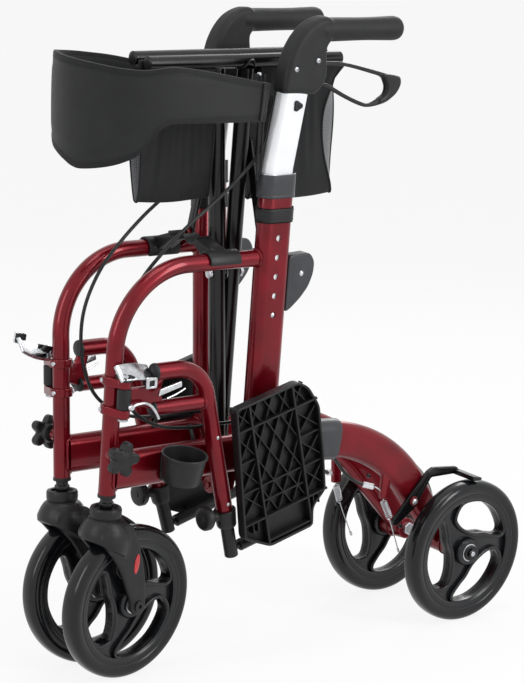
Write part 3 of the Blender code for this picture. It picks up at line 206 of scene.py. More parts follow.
def arc(centre, radius, start, end, step=5.0):
    """Points on a circle from one angle to another, in degrees."""
    count = max(2, round(abs(end - start) / step))
    points = []
    for i in range(count + 1):
        angle = radians(start + (end - start) * i / count)
        points.append((centre[0] + radius * cos(angle), centre[1] + radius * sin(angle)))
    return points


def circle(radius, centre=(0.0, 0.0), count=48):
    return arc(centre, radius, 0, 360, 360 / count)[:-1]


def lobed(radius_at, centre, count):
    """A closed outline round a centre, its radius given by the angle."""
    outline = []
    for i in range(count):
        angle = tau * i / count
        radius = radius_at(angle)
        outline.append((centre[0] + radius * cos(angle), centre[1] + radius * sin(angle)))
    return outline


def stadium(long, wide, count=24):
    """Oval tube outline, its long way along the first number of each point."""
    flat = (long - wide) / 2
    right = arc((flat, 0), wide / 2, -90, 90, 180 / count)
    left = arc((-flat, 0), wide / 2, 90, 270, 180 / count)
    return right + left


def upright_oval(long, wide, count=24):
    """The same outline in (u, y), round the upright's middle."""
    return [(b, UPRIGHT_Y + a) for a, b in stadium(long, wide, count)]


def bent(points, radius, step=3.0):
    """The open line through the points with each inner corner rounded."""
    line = [Vector(points[0])]
    for before, corner, after in zip(points, points[1:], points[2:]):
        corner = Vector(corner)
        back = (Vector(before) - corner).normalized()
        on = (Vector(after) - corner).normalized()
        half = back.angle(on) / 2
        turn = pi - 2 * half
        centre = corner + (back + on).normalized() * (radius / sin(half))
        first = corner + back * (radius / tan(half)) - centre
        last = corner + on * (radius / tan(half)) - centre
        count = max(3, round(degrees(turn) / step))
        for i in range(count + 1):
            share = i / count
            weight_a = sin((1 - share) * turn) / sin(turn)
            weight_b = sin(share * turn) / sin(turn)
            line.append(centre + first * weight_a + last * weight_b)
    line.append(Vector(points[-1]))
    return [tuple(p) for p in line]


def rounded(points, radius, steps=6):
    """A closed outline with its corners rounded."""
    outline = []
    count = len(points)
    for i in range(count):
        before, corner, after = (Vector(points[(i + k) % count]) for k in (-1, 0, 1))
        reach = min(radius, (before - corner).length * 0.45, (after - corner).length * 0.45)
        start = corner + (before - corner).normalized() * reach
        end = corner + (after - corner).normalized() * reach
        for j in range(steps + 1):
            t = j / steps
            outline.append(tuple(start * (1 - t) ** 2 + corner * 2 * t * (1 - t) + end * t ** 2))
    return outline


def curved(points, closed=False, steps=8):
    """A smooth line through every point given."""
    points = [Vector(p) for p in points]
    count = len(points)
    if closed:
        ring = [points[-1]] + points + points[:2]
    else:
        ring = [points[0] * 2 - points[1]] + points + [points[-1] * 2 - points[-2]]
    line = []
    for a, b, c, d in zip(ring, ring[1:], ring[2:], ring[3:]):
        for i in range(steps):
            t = i / steps
            second = 2 * a - 5 * b + 4 * c - d
            third = 3 * b - a - 3 * c + d
            line.append(0.5 * (2 * b + (c - a) * t + second * t ** 2 + third * t ** 3))
    if not closed:
        line.append(points[count - 1])
    return [tuple(p) for p in line]


def grown(outline, distance):
    """A closed outline moved outwards by a distance."""
    pairs = zip(outline, outline[1:] + outline[:1])
    if sum(a[0] * b[1] - b[0] * a[1] for a, b in pairs) > 0:
        distance = -distance
    moved = []
    count = len(outline)
    for i in range(count):
        before, here, after = (Vector(outline[(i + k) % count]) for k in (-1, 0, 1))
        along = ((here - before).normalized() + (after - here).normalized()).normalized()
        moved.append(tuple(here + Vector((-along.y, along.x)) * distance))
    return moved


def level_at(stops, t):
    """Value at t on the smooth curve through the listed stops (t, value)."""
    last = len(stops) - 1
    here = min(last - 1, sum(1 for at, _ in stops[1:] if at <= t))

    def slope(k):
        low, high = stops[max(0, k - 1)], stops[min(last, k + 1)]
        return (high[1] - low[1]) / (high[0] - low[0])

    (start, low), (end, high) = stops[here], stops[here + 1]
    wide = end - start
    s = (t - start) / wide
    rise = high - low
    lead, trail = slope(here) * wide, slope(here + 1) * wide
    return low + s * (lead + s * (3 * rise - 2 * lead - trail + s * (lead + trail - 2 * rise)))


# Modelling steps

TURNED = {"u": Matrix(((0, 0, 1, 0), (1, 0, 0, 0), (0, 1, 0, 0), (0, 0, 0, 1))),
    "y": Matrix(((1, 0, 0, 0), (0, 0, -1, 0), (0, 1, 0, 0), (0, 0, 0, 1))), "w": Matrix.Identity(4)}
MERGE = 0.01


def alone(piece, *others):
    """Selects a piece, and any others with it, for the next operator."""
    bpy.ops.object.select_all(action="DESELECT")
    for one in (piece, *others):
        one.select_set(True)
    bpy.context.view_layer.objects.active = piece
    return piece


def edited(piece, *steps):
    """Runs mesh operators, each a name with its settings, on the whole of a piece."""
    alone(piece)
    bpy.ops.object.mode_set(mode="EDIT")
    bpy.ops.mesh.select_all(action="SELECT")
    for name, settings in steps:
        getattr(bpy.ops.mesh, name)(**settings)
    bpy.ops.object.mode_set(mode="OBJECT")
    return piece


OUTWARDS = ("normals_make_consistent", {"inside": False})


def cleaned(piece):
    """Merges doubles and turns the faces outwards."""
    return edited(piece, ("remove_doubles", {"threshold": MERGE}), OUTWARDS)


def linked(name, data):
    made = bpy.data.objects.new(name, data)
    bpy.context.scene.collection.objects.link(made)
    return made


def drawn(lines, closed, kind, **settings):
    """A curve object through the points of each line."""
    curve = bpy.data.curves.new("line", "CURVE")
    curve.dimensions = kind
    for line in lines:
        spline = curve.splines.new("POLY")
        spline.points.add(len(line) - 1)
        for knot, point in zip(spline.points, line):
            knot.co = (*point, *(0,) * (3 - len(point)), 1)
        spline.use_cyclic_u = closed
    for name, value in settings.items():
        setattr(curve, name, value)
    return linked("line", curve)


def as_mesh(piece):
    alone(piece)
    bpy.ops.object.convert(target="MESH")
    return bpy.context.object


def meshed(piece):
    return cleaned(as_mesh(piece))


def plate(outline, start, end, axis="u", ease=0.6, holes=(), steps=2):
    """A flat piece cut to an outline, with holes, its edges eased all round."""
    ease = min(ease, (end - start) * 0.45)
    piece = meshed(drawn([outline, *holes], True, "2D", fill_mode="BOTH", extrude=(end - start) / 2 - ease,
        bevel_depth=ease, bevel_resolution=steps, offset=-ease))
    middle = (start + end) / 2 * (-1 if axis == "y" else 1)
    piece.data.transform(TURNED[axis] @ Matrix.Translation((0, 0, middle)))
    return piece


def bar(line, section):
    """A bar of one section along a line in the (y, w) plane."""
    shape = drawn([section], True, "2D")
    path = drawn([[(a, b, 0.0) for a, b in line]], False, "3D", twist_mode="Z_UP", bevel_mode="OBJECT",
        bevel_object=shape, use_fill_caps=True)
    piece = meshed(path)
    bpy.data.objects.remove(shape)
    piece.data.transform(TURNED["u"])
    return piece


def wire(line, radius, closed=False, sides=16):
    """A round bar or cord through points in space."""
    return meshed(drawn([line], closed, "3D", bevel_depth=radius, bevel_resolution=(sides - 4) // 2,
        use_fill_caps=not closed))


def lathe(profile, centre, axis=(0, 0, 1), steps=48):
    """A turned piece. The profile lists (radius, height) and starts and ends at the middle, or closes."""
    piece = as_mesh(drawn([[(radius, 0, height) for radius, height in profile]], False, "3D"))
    edited(piece, ("spin", {"steps": steps, "angle": tau, "center": (0, 0, 0), "axis": (0, 0, 1)}))
    cleaned(piece)
    aim = Vector((0, 0, 1)).rotation_difference(Vector(axis)).to_matrix().to_4x4()
    piece.data.transform(Matrix.Translation(centre) @ aim)
    return piece


def on_u(profile, centre, sign=1, steps=48):
    """A turned piece that points outwards, or inwards with -1."""
    return lathe(profile, centre, (sign, 0, 0), steps)


def rod(start, end, radius, ease=0.5, end_radius=None, steps=32):
    """A round bar between two points, its ends eased."""
    far = radius if end_radius is None else end_radius
    along = Vector(end) - Vector(start)
    length = along.length
    profile = [(0, 0), (radius - ease, 0), (radius, ease), (far, length - ease), (far - ease, length),
        (0, length)]
    return lathe(profile, start, along.normalized(), steps)


def joined(*pieces):
    alone(*pieces)
    bpy.ops.object.join()
    return pieces[0]


def shaped(piece, kind, **settings):
    """Adds a modifier with its settings and applies it."""
    alone(piece)
    step = piece.modifiers.new("step", kind)
    for name, value in settings.items():
        setattr(step, name, value)
    bpy.ops.object.modifier_apply(modifier=step.name)
    return piece


def cut(piece, *tools):
    for tool in tools:
        shaped(piece, "BOOLEAN", object=tool, operation="DIFFERENCE")
        bpy.data.objects.remove(tool)
    return piece


def moulded(piece, grain, rounds=6):
    """Runs joined shapes into one skin with soft corners, as a moulding has."""
    shaped(piece, "REMESH", mode="VOXEL", voxel_size=grain)
    return shaped(piece, "SMOOTH", factor=0.5, iterations=rounds)


def copied(piece):
    return linked(piece.name, piece.data.copy())


def settle(name, piece, home, body, finish, node="", angle=32.0):
    """Names a finished piece, leans it onto its half, gives it its finish and ties it to its body.

    A piece with the name of a CAD node takes that node's place.
    """
    if not node and name in bpy.data.objects:
        node = name
    matrix, mirrored = HOME[home]
    piece.data.transform(matrix)
    if mirrored:
        piece.data.flip_normals()
    piece.name = name
    piece.data.name = name
    alone(piece)
    bpy.ops.object.shade_smooth_by_angle(angle=radians(angle))
    piece.data.materials.clear()
    material, usual_slot = FINISH[finish]
    piece.data.materials.append(material)
    if body:
        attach(piece, body)
    if node:
        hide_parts(node)
    return piece


def pair(name, piece, finish, body="{}_frame", angle=32.0):
    """The same piece on both halves, each with its own mesh. Braces stand for the side."""
    for side in SIDES:
        settle(f"{name}_{side}", copied(piece), side, body.format(side), finish, angle=angle)
    bpy.data.objects.remove(piece)


def socket_screw(centre, radius):
    """Button head screw with a round-bottomed socket, its head outwards."""
    tall = radius * 0.62
    profile = [(0, tall * 0.35), (radius * 0.42, tall * 0.35), (radius * 0.42, tall),
        (radius * 0.72, tall * 0.86), (radius * 0.94, tall * 0.5), (radius, 0.2), (radius, -0.6), (0, -0.6)]
    return on_u(profile, centre, 1, 24)


def hex_nut(centre, axis, across, tall):
    radius = across / 2 / cos(pi / 6)
    profile = [(0, 0), (radius, 0), (radius, tall * 0.8), (radius * 0.85, tall), (0, tall)]
    return lathe(profile, centre, axis, 6)


# Finishes

def linear(code):
    """An sRGB hex code as the linear colour that a shader takes."""
    levels = [int(code[i:i + 2], 16) / 255 for i in (0, 2, 4)]
    return [v / 12.92 if v <= 0.04045 else ((v + 0.055) / 1.055) ** 2.4 for v in levels] + [1.0]


def add(tree, kind, wires, **settings):
    """One shader node with its settings, and a value or a link for each socket named."""
    made = tree.nodes.new("ShaderNode" + kind)
    for name, value in settings.items():
        setattr(made, name, value)
    for name, value in wires.items():
        if isinstance(value, bpy.types.NodeSocket):
            tree.links.new(value, made.inputs[name])
        else:
            made.inputs[name].default_value = value
    return made


def surface(name, colour, roughness, metallic=0.0, **sockets):
    """A material with its constant values on the shader's own sockets."""
    made = bpy.data.materials.new(name)
    made.use_nodes = True
    shader = made.node_tree.nodes["Principled BSDF"]
    shader.inputs["Base Color"].default_value = linear(colour)
    shader.inputs["Roughness"].default_value = roughness
    shader.inputs["Metallic"].default_value = metallic
    for socket, value in sockets.items():
        shader.inputs[socket.replace("_", " ").title().replace("Ior", "IOR")].default_value = value
    return made, made.node_tree, shader


def shaded(tree, shader, value, stops):
    """Colour from a value, between two stops (position, shade)."""
    ramp = add(tree, "ValToRGB", {"Fac": value})
    for element, (position, shade) in zip(ramp.color_ramp.elements, stops):
        element.position = position
        element.color = linear(shade)
    tree.links.new(ramp.outputs["Color"], shader.inputs["Base Color"])
    return ramp.outputs["Color"]


def mottled(tree, shader, place, first, second, size_mm):
    """Colour that drifts between two near shades over patches of a size."""
    return shaded(tree, shader, grains(tree, place, size_mm, 3.0), ((0.35, first), (0.65, second)))


def object_place(tree):
    return add(tree, "TexCoord", {}).outputs["Object"]


def grains(tree, place, size_mm, detail, uneven=0.5):
    """Noise with grains of a size, as a factor."""
    return add(tree, "TexNoise", {"Vector": place, "Scale": 1 / (size_mm * MM), "Detail": detail,
        "Roughness": uneven}).outputs["Fac"]


def relief(tree, shader, height, depth_mm, strength=1.0):
    bump = add(tree, "Bump", {"Height": height, "Distance": depth_mm * MM, "Strength": strength})
    tree.links.new(bump.outputs["Normal"], shader.inputs["Normal"])


def polished(tree, shader, place, low, high, size_mm):
    """Gloss that varies a little over the surface, as handling leaves it."""
    smears = grains(tree, place, size_mm, 4.0)
    spread = add(tree, "MapRange", {"Value": smears, "To Min": low, "To Max": high})
    tree.links.new(spread.outputs["Result"], shader.inputs["Roughness"])


def coat(name, base, roughness, patches, grain, relief_of, gloss, metallic=0.0, **sockets):
    """Patches are (shade, shade, mm), the grain (mm, detail, unevenness), its relief (depth in mm,
    strength) and the gloss (least roughness, most, mm)."""
    made, tree, shader = surface(name, base, roughness, metallic, **sockets)
    place = object_place(tree)
    mottled(tree, shader, place, *patches)
    relief(tree, shader, grains(tree, place, *grain), *relief_of)
    polished(tree, shader, place, *gloss)
    return made


def moulded_nylon(name, first, second, low, high, grain_mm, depth_mm=0.06, gloss=0.3):
    """Glass-filled nylon from a spark-eroded mould: even fine grain, soft grey sheen."""
    return coat(name, first, (low + high) / 2, (first, second, 18), (grain_mm, 3.0), (depth_mm, 0.5),
        (low, high, 12), specular_ior_level=gloss)


def silver_coat():
    """Silver lacquer on aluminium tube: nearly white, satin, with fine draw lines along the tube."""
    made, tree, shader = surface("silver_lacquered_tube", "EEF0F2", 0.3, 0.25, coat_weight=0.3,
        coat_roughness=0.1)
    place = object_place(tree)
    mottled(tree, shader, place, "E9EBEE", "F3F4F6", 50)
    along = add(tree, "Mapping", {"Vector": place, "Scale": (1 / (0.5 * MM), 1 / (0.5 * MM), 1 / (60 * MM))})
    lines = add(tree, "TexNoise", {"Vector": along.outputs["Vector"], "Scale": 1.0, "Detail": 2.0})
    relief(tree, shader, lines.outputs["Fac"], 0.02, 0.3)
    return made


def plated(name, colour, low, high, size_mm):
    """Plated steel: a mirror under a film of fine marks."""
    return coat(name, colour, (low + high) / 2, (colour, "B9BBBF", 6), (size_mm, 3.0), (0.02, 0.2),
        (low, high, size_mm), 1.0)


def woven(name, first, second, thread_mm, sheen, low, high):
    """Plain weave of spun nylon, its colour painted lighter on the thread crossings and darker in the gaps
    between them as painted light and shade of the weave. The piece's map counts threads, so both ways run
    with the cut.
    """
    made, tree, shader = surface(name, first, (low + high) / 2, sheen_weight=sheen, sheen_roughness=0.5,
        specular_ior_level=0.25)
    place = add(tree, "UVMap", {}).outputs["UV"]
    drift = mottled(tree, shader, object_place(tree), first, second, 25)
    spread = add(tree, "Mapping", {"Vector": place, "Scale": (1 / thread_mm, 1 / thread_mm, 1.0)})
    warp = add(tree, "TexWave", {"Vector": spread.outputs["Vector"], "Scale": 0.5}, bands_direction="X")
    weft = add(tree, "TexWave", {"Vector": spread.outputs["Vector"], "Scale": 0.5}, bands_direction="Y")
    height = add(tree, "Math", {0: warp.outputs["Fac"], 1: weft.outputs["Fac"]}, operation="MULTIPLY")
    # Painted light and shade of the weave: the colour is lighter where the threads cross and darker in the
    # gaps between them
    shade = add(tree, "MixRGB", {"Fac": 0.35, "Color1": drift, "Color2": height.outputs["Value"]},
        blend_type="OVERLAY")
    tree.links.new(shade.outputs["Color"], shader.inputs["Base Color"])
    relief(tree, shader, height.outputs["Value"], 0.25, 0.6)
    return made


def mesh_knit():
    """Warp-knitted spacer mesh: pale ribs round dark holes 3 mm apart, drawn a little coarse to show."""
    made, tree, shader = surface("spacer_mesh_knit", "77797D", 0.8, sheen_weight=0.3)
    place = add(tree, "UVMap", {}).outputs["UV"]
    spread = add(tree, "Mapping", {"Vector": place, "Scale": (1 / 3.0, 1 / 3.0, 1.0)})
    holes = add(tree, "TexVoronoi", {"Vector": spread.outputs["Vector"], "Scale": 1.0, "Randomness": 0.15})
    knit = shaded(tree, shader, holes.outputs["Distance"], ((0.28, "17181A"), (0.42, "626468")))
    relief(tree, shader, knit, 0.6, 0.8)
    return made


def reflector_red():
    """Acrylic reflector: clear red over small corner prisms, their colour painted lighter at each prism's
    middle and darker towards its edges as painted glint and shade.
    """
    made, tree, shader = surface("acrylic_reflector", "C00A14", 0.12, coat_weight=0.5, coat_roughness=0.03)
    place = object_place(tree)
    prisms = add(tree, "TexVoronoi", {"Vector": place, "Scale": 1 / (2.0 * MM), "Randomness": 0.0})
    # Painted light of the prisms: lighter red at each prism's middle as a glint, darker towards its edges as
    # shade
    shaded(tree, shader, prisms.outputs["Distance"], ((0.0, "D61420"), (1.0, "98060F")))
    relief(tree, shader, prisms.outputs["Distance"], 0.4, 0.5)
    return made


# Each finish with the CAD slot that it usually fills
FINISH = {
    # Candy red powder coat over bright metal: deep red, fine flake under a clear gloss
    "candy": (coat("candy_red_powder_coat", "7A0010", 0.26, ("650010", "780014", 45), (0.6, 2.0),
                   (0.03, 0.2), (0.24, 0.34, 30), 0.5, coat_weight=0.3, coat_roughness=0.05,
                   specular_ior_level=0.3), "red_coat"),
    # Black powder coat on steel tube: near black, glossy, with a faint orange peel
    "black": (coat("black_powder_coat", "0D0D0F", 0.25, ("0B0B0D", "111113", 30), (2.5, 1.0), (0.05, 0.2),
                   (0.18, 0.3, 20), specular_ior_level=0.4), "steel"),
    # Cast polyurethane tread: near black and slick, with fine scuffs that break its gloss
    "tread": (coat("cast_urethane_tread", "101114", 0.16, ("0E0F11", "141518", 14), (1.2, 4.0, 0.7),
                   (0.04, 0.3), (0.12, 0.22, 9), specular_ior_level=0.35), "tyre"),
    "nylon": (moulded_nylon("charcoal_moulded_nylon", "1E1E20", "19191B", 0.36, 0.48, 0.5), "black_plastic"),
    "wheel": (moulded_nylon("wheel_moulded_nylon", "17181B", "131417", 0.2, 0.3, 0.8, 0.04, 0.4), "tyre"),
    "plate": (moulded_nylon("footplate_moulded_nylon", "18181A", "141416", 0.4, 0.52, 0.6), "black_plastic"),
    "grey_nylon": (moulded_nylon("grey_moulded_nylon", "3A3B3F", "333438", 0.28, 0.4, 0.6, 0.04, 0.4),
                   "grey_plastic"),
    "grip": (moulded_nylon("soft_grip_rubber", "1A1B1C", "161617", 0.48, 0.62, 0.9, 0.12, 0.3), "soft_grip"),
    "sheath": (moulded_nylon("vinyl_cable_sheath", "101012", "151517", 0.28, 0.38, 2.0, 0.03, 0.35),
               "black_plastic"),
    "thread": (moulded_nylon("sewing_thread", "2E2F31", "28292B", 0.5, 0.6, 0.6), "cloth"),
    "silver": (silver_coat(), "silver"),
    "chrome": (plated("bright_chrome_plate", "D2D4D7", 0.16, 0.26, 4), "chrome"),
    "zinc": (plated("zinc_plated_steel", "C2C4C8", 0.25, 0.42, 1.5), "steel"),
    "strap": (woven("satin_woven_polyester", "1D1E1F", "18191A", 1.2, 0.1, 0.5, 0.62), "cloth"),
    "pouch": (woven("oxford_woven_nylon", "1A1B1D", "161719", 1.6, 0.08, 0.62, 0.75), "cloth"),
    "tape": (woven("grosgrain_binding_tape", "17181A", "131416", 1.4, 0.08, 0.62, 0.75), "cloth"),
    "mesh": (mesh_knit(), "cloth"),
    "reflector": (reflector_red(), "black_plastic"),
}


# Camera, lamps and floor

CAMERA_AT = (2565.3, -1802.9, 1066.1)
CAMERA_AZIMUTH = 50.88
CAMERA_ELEVATION = 11.18
CAMERA_ROLL = 2.17
CAMERA_LENS = 133.3
SENSOR = 36.0


def facing(azimuth, elevation, roll=0.0):
    """Turn of a camera or lamp that looks at the chair from an azimuth and an elevation, in degrees."""
    a, e, r = (radians(v) for v in (azimuth, elevation, roll))
    back = Vector((sin(a) * cos(e), -cos(a) * cos(e), sin(e)))
    right = Vector((cos(a), sin(a), 0))
    up = back.cross(right)
    tilted_right = right * cos(r) + up * sin(r)
    tilted_up = -right * sin(r) + up * cos(r)
    return Matrix((tilted_right, tilted_up, back)).transposed().to_4x4(), back


def build_camera():
    camera = bpy.data.cameras.new("camera")
    camera.sensor_fit = "VERTICAL"
    camera.sensor_height = SENSOR
    camera.lens = CAMERA_LENS
    view = linked("camera", camera)
    turn, _ = facing(CAMERA_AZIMUTH, CAMERA_ELEVATION, CAMERA_ROLL)
    view.matrix_world = Matrix.Translation(CHAIR + Vector(CAMERA_AT) * MM) @ turn
    bpy.context.scene.camera = view


def build_lamps():
    """A tall soft box to the camera's right, a weaker one to its left, a top light and a rim light."""
    for name, azimuth, elevation, distance, wide, tall, power in (("key_box", 112, 24, 2.4, 0.6, 1.7, 30),
            ("fill_box", 2, 22, 2.6, 0.7, 1.5, 15), ("top_box", 60, 80, 2.6, 1.4, 1.4, 18),
            ("rim_box", 215, 30, 2.6, 0.8, 1.2, 14)):
        lamp = bpy.data.lights.new(name, "AREA")
        lamp.shape = "RECTANGLE"
        lamp.size = wide
        lamp.size_y = tall
        lamp.energy = power
        box = linked(name, lamp)
        turn, back = facing(azimuth, elevation)
        box.matrix_world = Matrix.Translation(Vector((0, 0, 0.45)) + back * distance) @ turn


def seen_rays(tree, strength):
    """A factor that is a strength for what the camera, mirrors and glass see, and 0 for other rays."""
    path = add(tree, "LightPath", {})
    seen = path.outputs["Is Camera Ray"]
    for ray in ("Is Glossy Ray", "Is Transmission Ray"):
        seen = add(tree, "Math", {0: seen, 1: path.outputs[ray]}, operation="MAXIMUM").outputs["Value"]
    return add(tree, "Math", {0: seen, 1: strength}, operation="MULTIPLY").outputs["Value"]


def build_floor():
    """A white floor that keeps the shadow, and a surround that camera and mirrors see as white."""
    bpy.ops.object.select_all(action="DESELECT")
    bpy.ops.mesh.primitive_plane_add(size=30, location=(0, 0, 0))
    floor = bpy.context.object
    floor.name = "floor"
    made, tree, shader = surface("pale_floor", "F4F4F4", 0.8, specular_ior_level=0.0)
    place = object_place(tree)
    mottled(tree, shader, place, "F2F2F2", "F6F6F6", 200)
    glow = add(tree, "Emission", {"Color": (1, 1, 1, 1), "Strength": 1.0})
    whole = add(tree, "MixShader", {"Fac": seen_rays(tree, 0.87), 1: shader.outputs["BSDF"],
        2: glow.outputs["Emission"]})
    tree.links.new(whole.outputs["Shader"], tree.nodes["Material Output"].inputs["Surface"])
    floor.data.materials.append(made)
    world = bpy.data.worlds.new("surround")
    bpy.context.scene.world = world
    world.use_nodes = True
    tree = world.node_tree
    level = add(tree, "MapRange", {"Value": seen_rays(tree, 1.0), "To Min": 0.5, "To Max": 1.0})
    tree.links.new(level.outputs["Result"], tree.nodes["Background"].inputs["Strength"])
    tree.nodes["Background"].inputs["Color"].default_value = (1, 1, 1, 1)
    bpy.context.scene.view_settings.view_transform = "Standard"


# Side frames

def local(x, z):
    """A point of the folded chair's own x and height, in the leaning (u, w) frame of a half."""
    lean = radians(SPLAY)
    out = x - FOOT_HALF_WIDTH
    return out * cos(lean) - z * sin(lean), out * sin(lean) + z * cos(lean)


TYRE_PROFILE = [(RIM_INNER_R, -TYRE_HALF + 2.5), (93.0, -TYRE_HALF), (WHEEL_R - 2.0, -TYRE_HALF + 6.5),
    (WHEEL_R, 0.0), (WHEEL_R - 2.0, TYRE_HALF - 6.5), (93.0, TYRE_HALF), (RIM_INNER_R, TYRE_HALF - 2.5)]


def wheel_height(turn=0.0, offset=0.0, trail=0.0):
    """Height w of a wheel's centre so that its lowest point is on the floor."""
    lean = radians(SPLAY)
    spin = radians(turn)
    axle_rise = -sin(lean) * cos(spin)
    flat = sqrt(1 - axle_rise ** 2)
    drop = max(r * flat + abs(h * axle_rise) for r, h in TYRE_PROFILE)
    out = offset - trail * sin(spin)
    return (drop + out * sin(lean)) / cos(lean)


def rail_line():
    """Middle line of the lower rail and rear arm."""
    line = [(RAIL_FROM_Y, RAIL_W)]
    line += arc((REAR_BEND_Y, RAIL_W - REAR_BEND), REAR_BEND, 90, 90 - REAR_TURN, 2.0)
    turn = radians(REAR_TURN)
    last = line[-1]
    line.append((last[0] + REAR_STRAIGHT * cos(turn), last[1] - REAR_STRAIGHT * sin(turn)))
    return line


def post_and_arm():
    points = [(0, POST_FOOT_W), (0, ARM_W), (UPRIGHT_Y - UPRIGHT[0] / 2 + 1, ARM_W)]
    return wire([(0, *p) for p in bent(points, ARM_BEND, 2.5)], POST_R, sides=40)


def rail_and_rear_arm():
    """The oval tube, drawn in at its rear tip, where the axle boss is welded on."""
    rail = bar(rail_line(), stadium(*RAIL))
    last = rail_line()[-1]
    turn = radians(REAR_TURN)
    along = Vector((cos(turn), -sin(turn)))
    across = Vector((sin(turn), cos(turn)))
    for vertex in rail.data.vertices:
        here = Vector((vertex.co.y, vertex.co.z)) - Vector(last)
        if abs(here.dot(along)) < 0.5:
            shift = here.dot(across) * (REAR_TIP_LONG / RAIL[0] - 1)
            vertex.co.y += across.x * shift
            vertex.co.z += across.y * shift
    return rail


def upright_tube():
    inner = upright_oval(UPRIGHT[0] - 2 * UPRIGHT_WALL, UPRIGHT[1] - 2 * UPRIGHT_WALL)
    tube = plate(upright_oval(*UPRIGHT), RAIL_W + 4, UPRIGHT_TOP_W, "w", 0.5, [inner])
    drills = [rod((UPRIGHT[1] / 2 - 4, UPRIGHT_Y, BUTTON_W + HOLE_PITCH * i),
        (UPRIGHT[1] / 2 + 4, UPRIGHT_Y, BUTTON_W + HOLE_PITCH * i), BUTTON_R, steps=24)
        for i in range(HOLE_COUNT)]
    return cut(tube, joined(*drills))


def weld_beads():
    """Rounded welds round the arm's end, the upright's foot and the rail's front."""
    front = UPRIGHT_Y - UPRIGHT[0] / 2
    arm = wire([(a, front - 0.5, ARM_W + b) for a, b in circle(POST_R + 0.4, count=32)], 1.7, True, 10)
    foot = []
    for u, y in upright_oval(UPRIGHT[0] + 0.6, UPRIGHT[1] + 0.6, 12):
        rise = sqrt(max(0.0, (RAIL[1] / 2) ** 2 - u * u))
        foot.append((u, y, RAIL_W + (RAIL[0] - RAIL[1]) / 2 + rise))
    foot = wire(foot, 1.8, True, 10)
    rail = []
    for across, out in stadium(RAIL[0] + 0.4, RAIL[1] + 0.4, 12):
        rail.append((out, sqrt(max(0.0, POST_R ** 2 - out * out)) + 0.5, RAIL_W + across))
    return joined(arm, foot, wire(rail, 1.6, True, 10))


def cross_bracket(side):
    """The two plates that hold the foot of this side's cross tube, with their pin on the left."""
    u, w = local(CROSS_PIVOT_X, CROSS_PIVOT_W)
    outline = [(-10, RAIL_W + 16), (-10, RAIL_W - 22), (-16, w - 6)] + arc((u, w), 11, 290, 110)
    y = CROSS_Y["right" if side == "left" else "left"]
    plates = []
    for sign in (-1, 1):
        near = y + sign * (CROSS_R + 0.5)
        far = near + sign * 3.2
        plates.append(plate(outline, min(near, far), max(near, far), "y", 0.5))
    if side == "left":
        plates.append(rod((u, y - CROSS_R - 6, w), (u, y + CROSS_R + 6, w), PIVOT_BOLT_R))
    return plates


def link_plane(side):
    if side == "left":
        start = CROSS_Y["left"] + CROSS_R + 0.5
        return start, start + LINK_THICK
    end = CROSS_Y["right"] - CROSS_R - 0.5
    return end - LINK_THICK, end


def link_bracket(side):
    u, w = local(*LINK_PIN)
    near, far = link_plane(side)
    if side == "left":
        start, end = far + 0.4, far + 3.9
        outline = [(-10, w - 14), (-10, w + 14), (u - 4, w + 8), (u - 8, w), (u - 4, w - 8)]
        reach = near - 3
    else:
        start, end = near - 3.9, near - 0.4
        outline = [(0, w - 24), (0, w - 12), (u + 2, w + 8), (u - 6, w + 5), (u - 8, w - 4), (u + 2, w - 14)]
        reach = far + 3
    stem_end = end if side == "left" else start
    head_end = reach + (2.2 if side == "left" else -2.2)
    return [plate(rounded(outline, 3), start, end, "y", 0.5), rod((u, reach, w), (u, stem_end, w), 3.5),
        rod((u, reach, w), (u, head_end, w), 6, 0.8)]


def build_side_frame(side):
    axle = (REAR_AXLE_Y, wheel_height(0.0, REAR_WHEEL_U))
    boss = rod((-14, *axle), (REAR_WHEEL_U - HUB_HALF - 0.5, *axle), 15, 1.2, steps=48)
    boss_ring = on_u([(15, 0), (16.4, 0.8), (16.4, 3.2), (15, 4)], (12, *axle))
    pin = rod((0, *BRAKE_PIVOT), (BRAKE_ARM_U[1] + 0.5, *BRAKE_PIVOT), 3.5)
    head = rod((BRAKE_ARM_U[1] + 0.3, *BRAKE_PIVOT), (BRAKE_ARM_U[1] + 3, *BRAKE_PIVOT), 7, 0.9)
    knob_boss = rod((4, *KNOB), (POST_R + 2.5, *KNOB), 8, 0.8)
    adjuster_arm = plate(rounded([(462, 228), (476, 222), (476, 184), (462, 184)], 2), 1, 8, ease=1.0)
    body = joined(post_and_arm(), rail_and_rear_arm(), upright_tube(), weld_beads(), boss, boss_ring, pin,
        head, knob_boss, adjuster_arm, *cross_bracket(side), *link_bracket(side))
    settle(f"side_frame_{side}", body, side, f"{side}_frame", "candy")


def sleeve(wider, low, high, ease, hole, steps=2):
    """A ring round the upright, by so much wider than the tube."""
    return plate(upright_oval(UPRIGHT[0] + wider, UPRIGHT[1] + wider), low, high, "w", ease, [hole], steps)


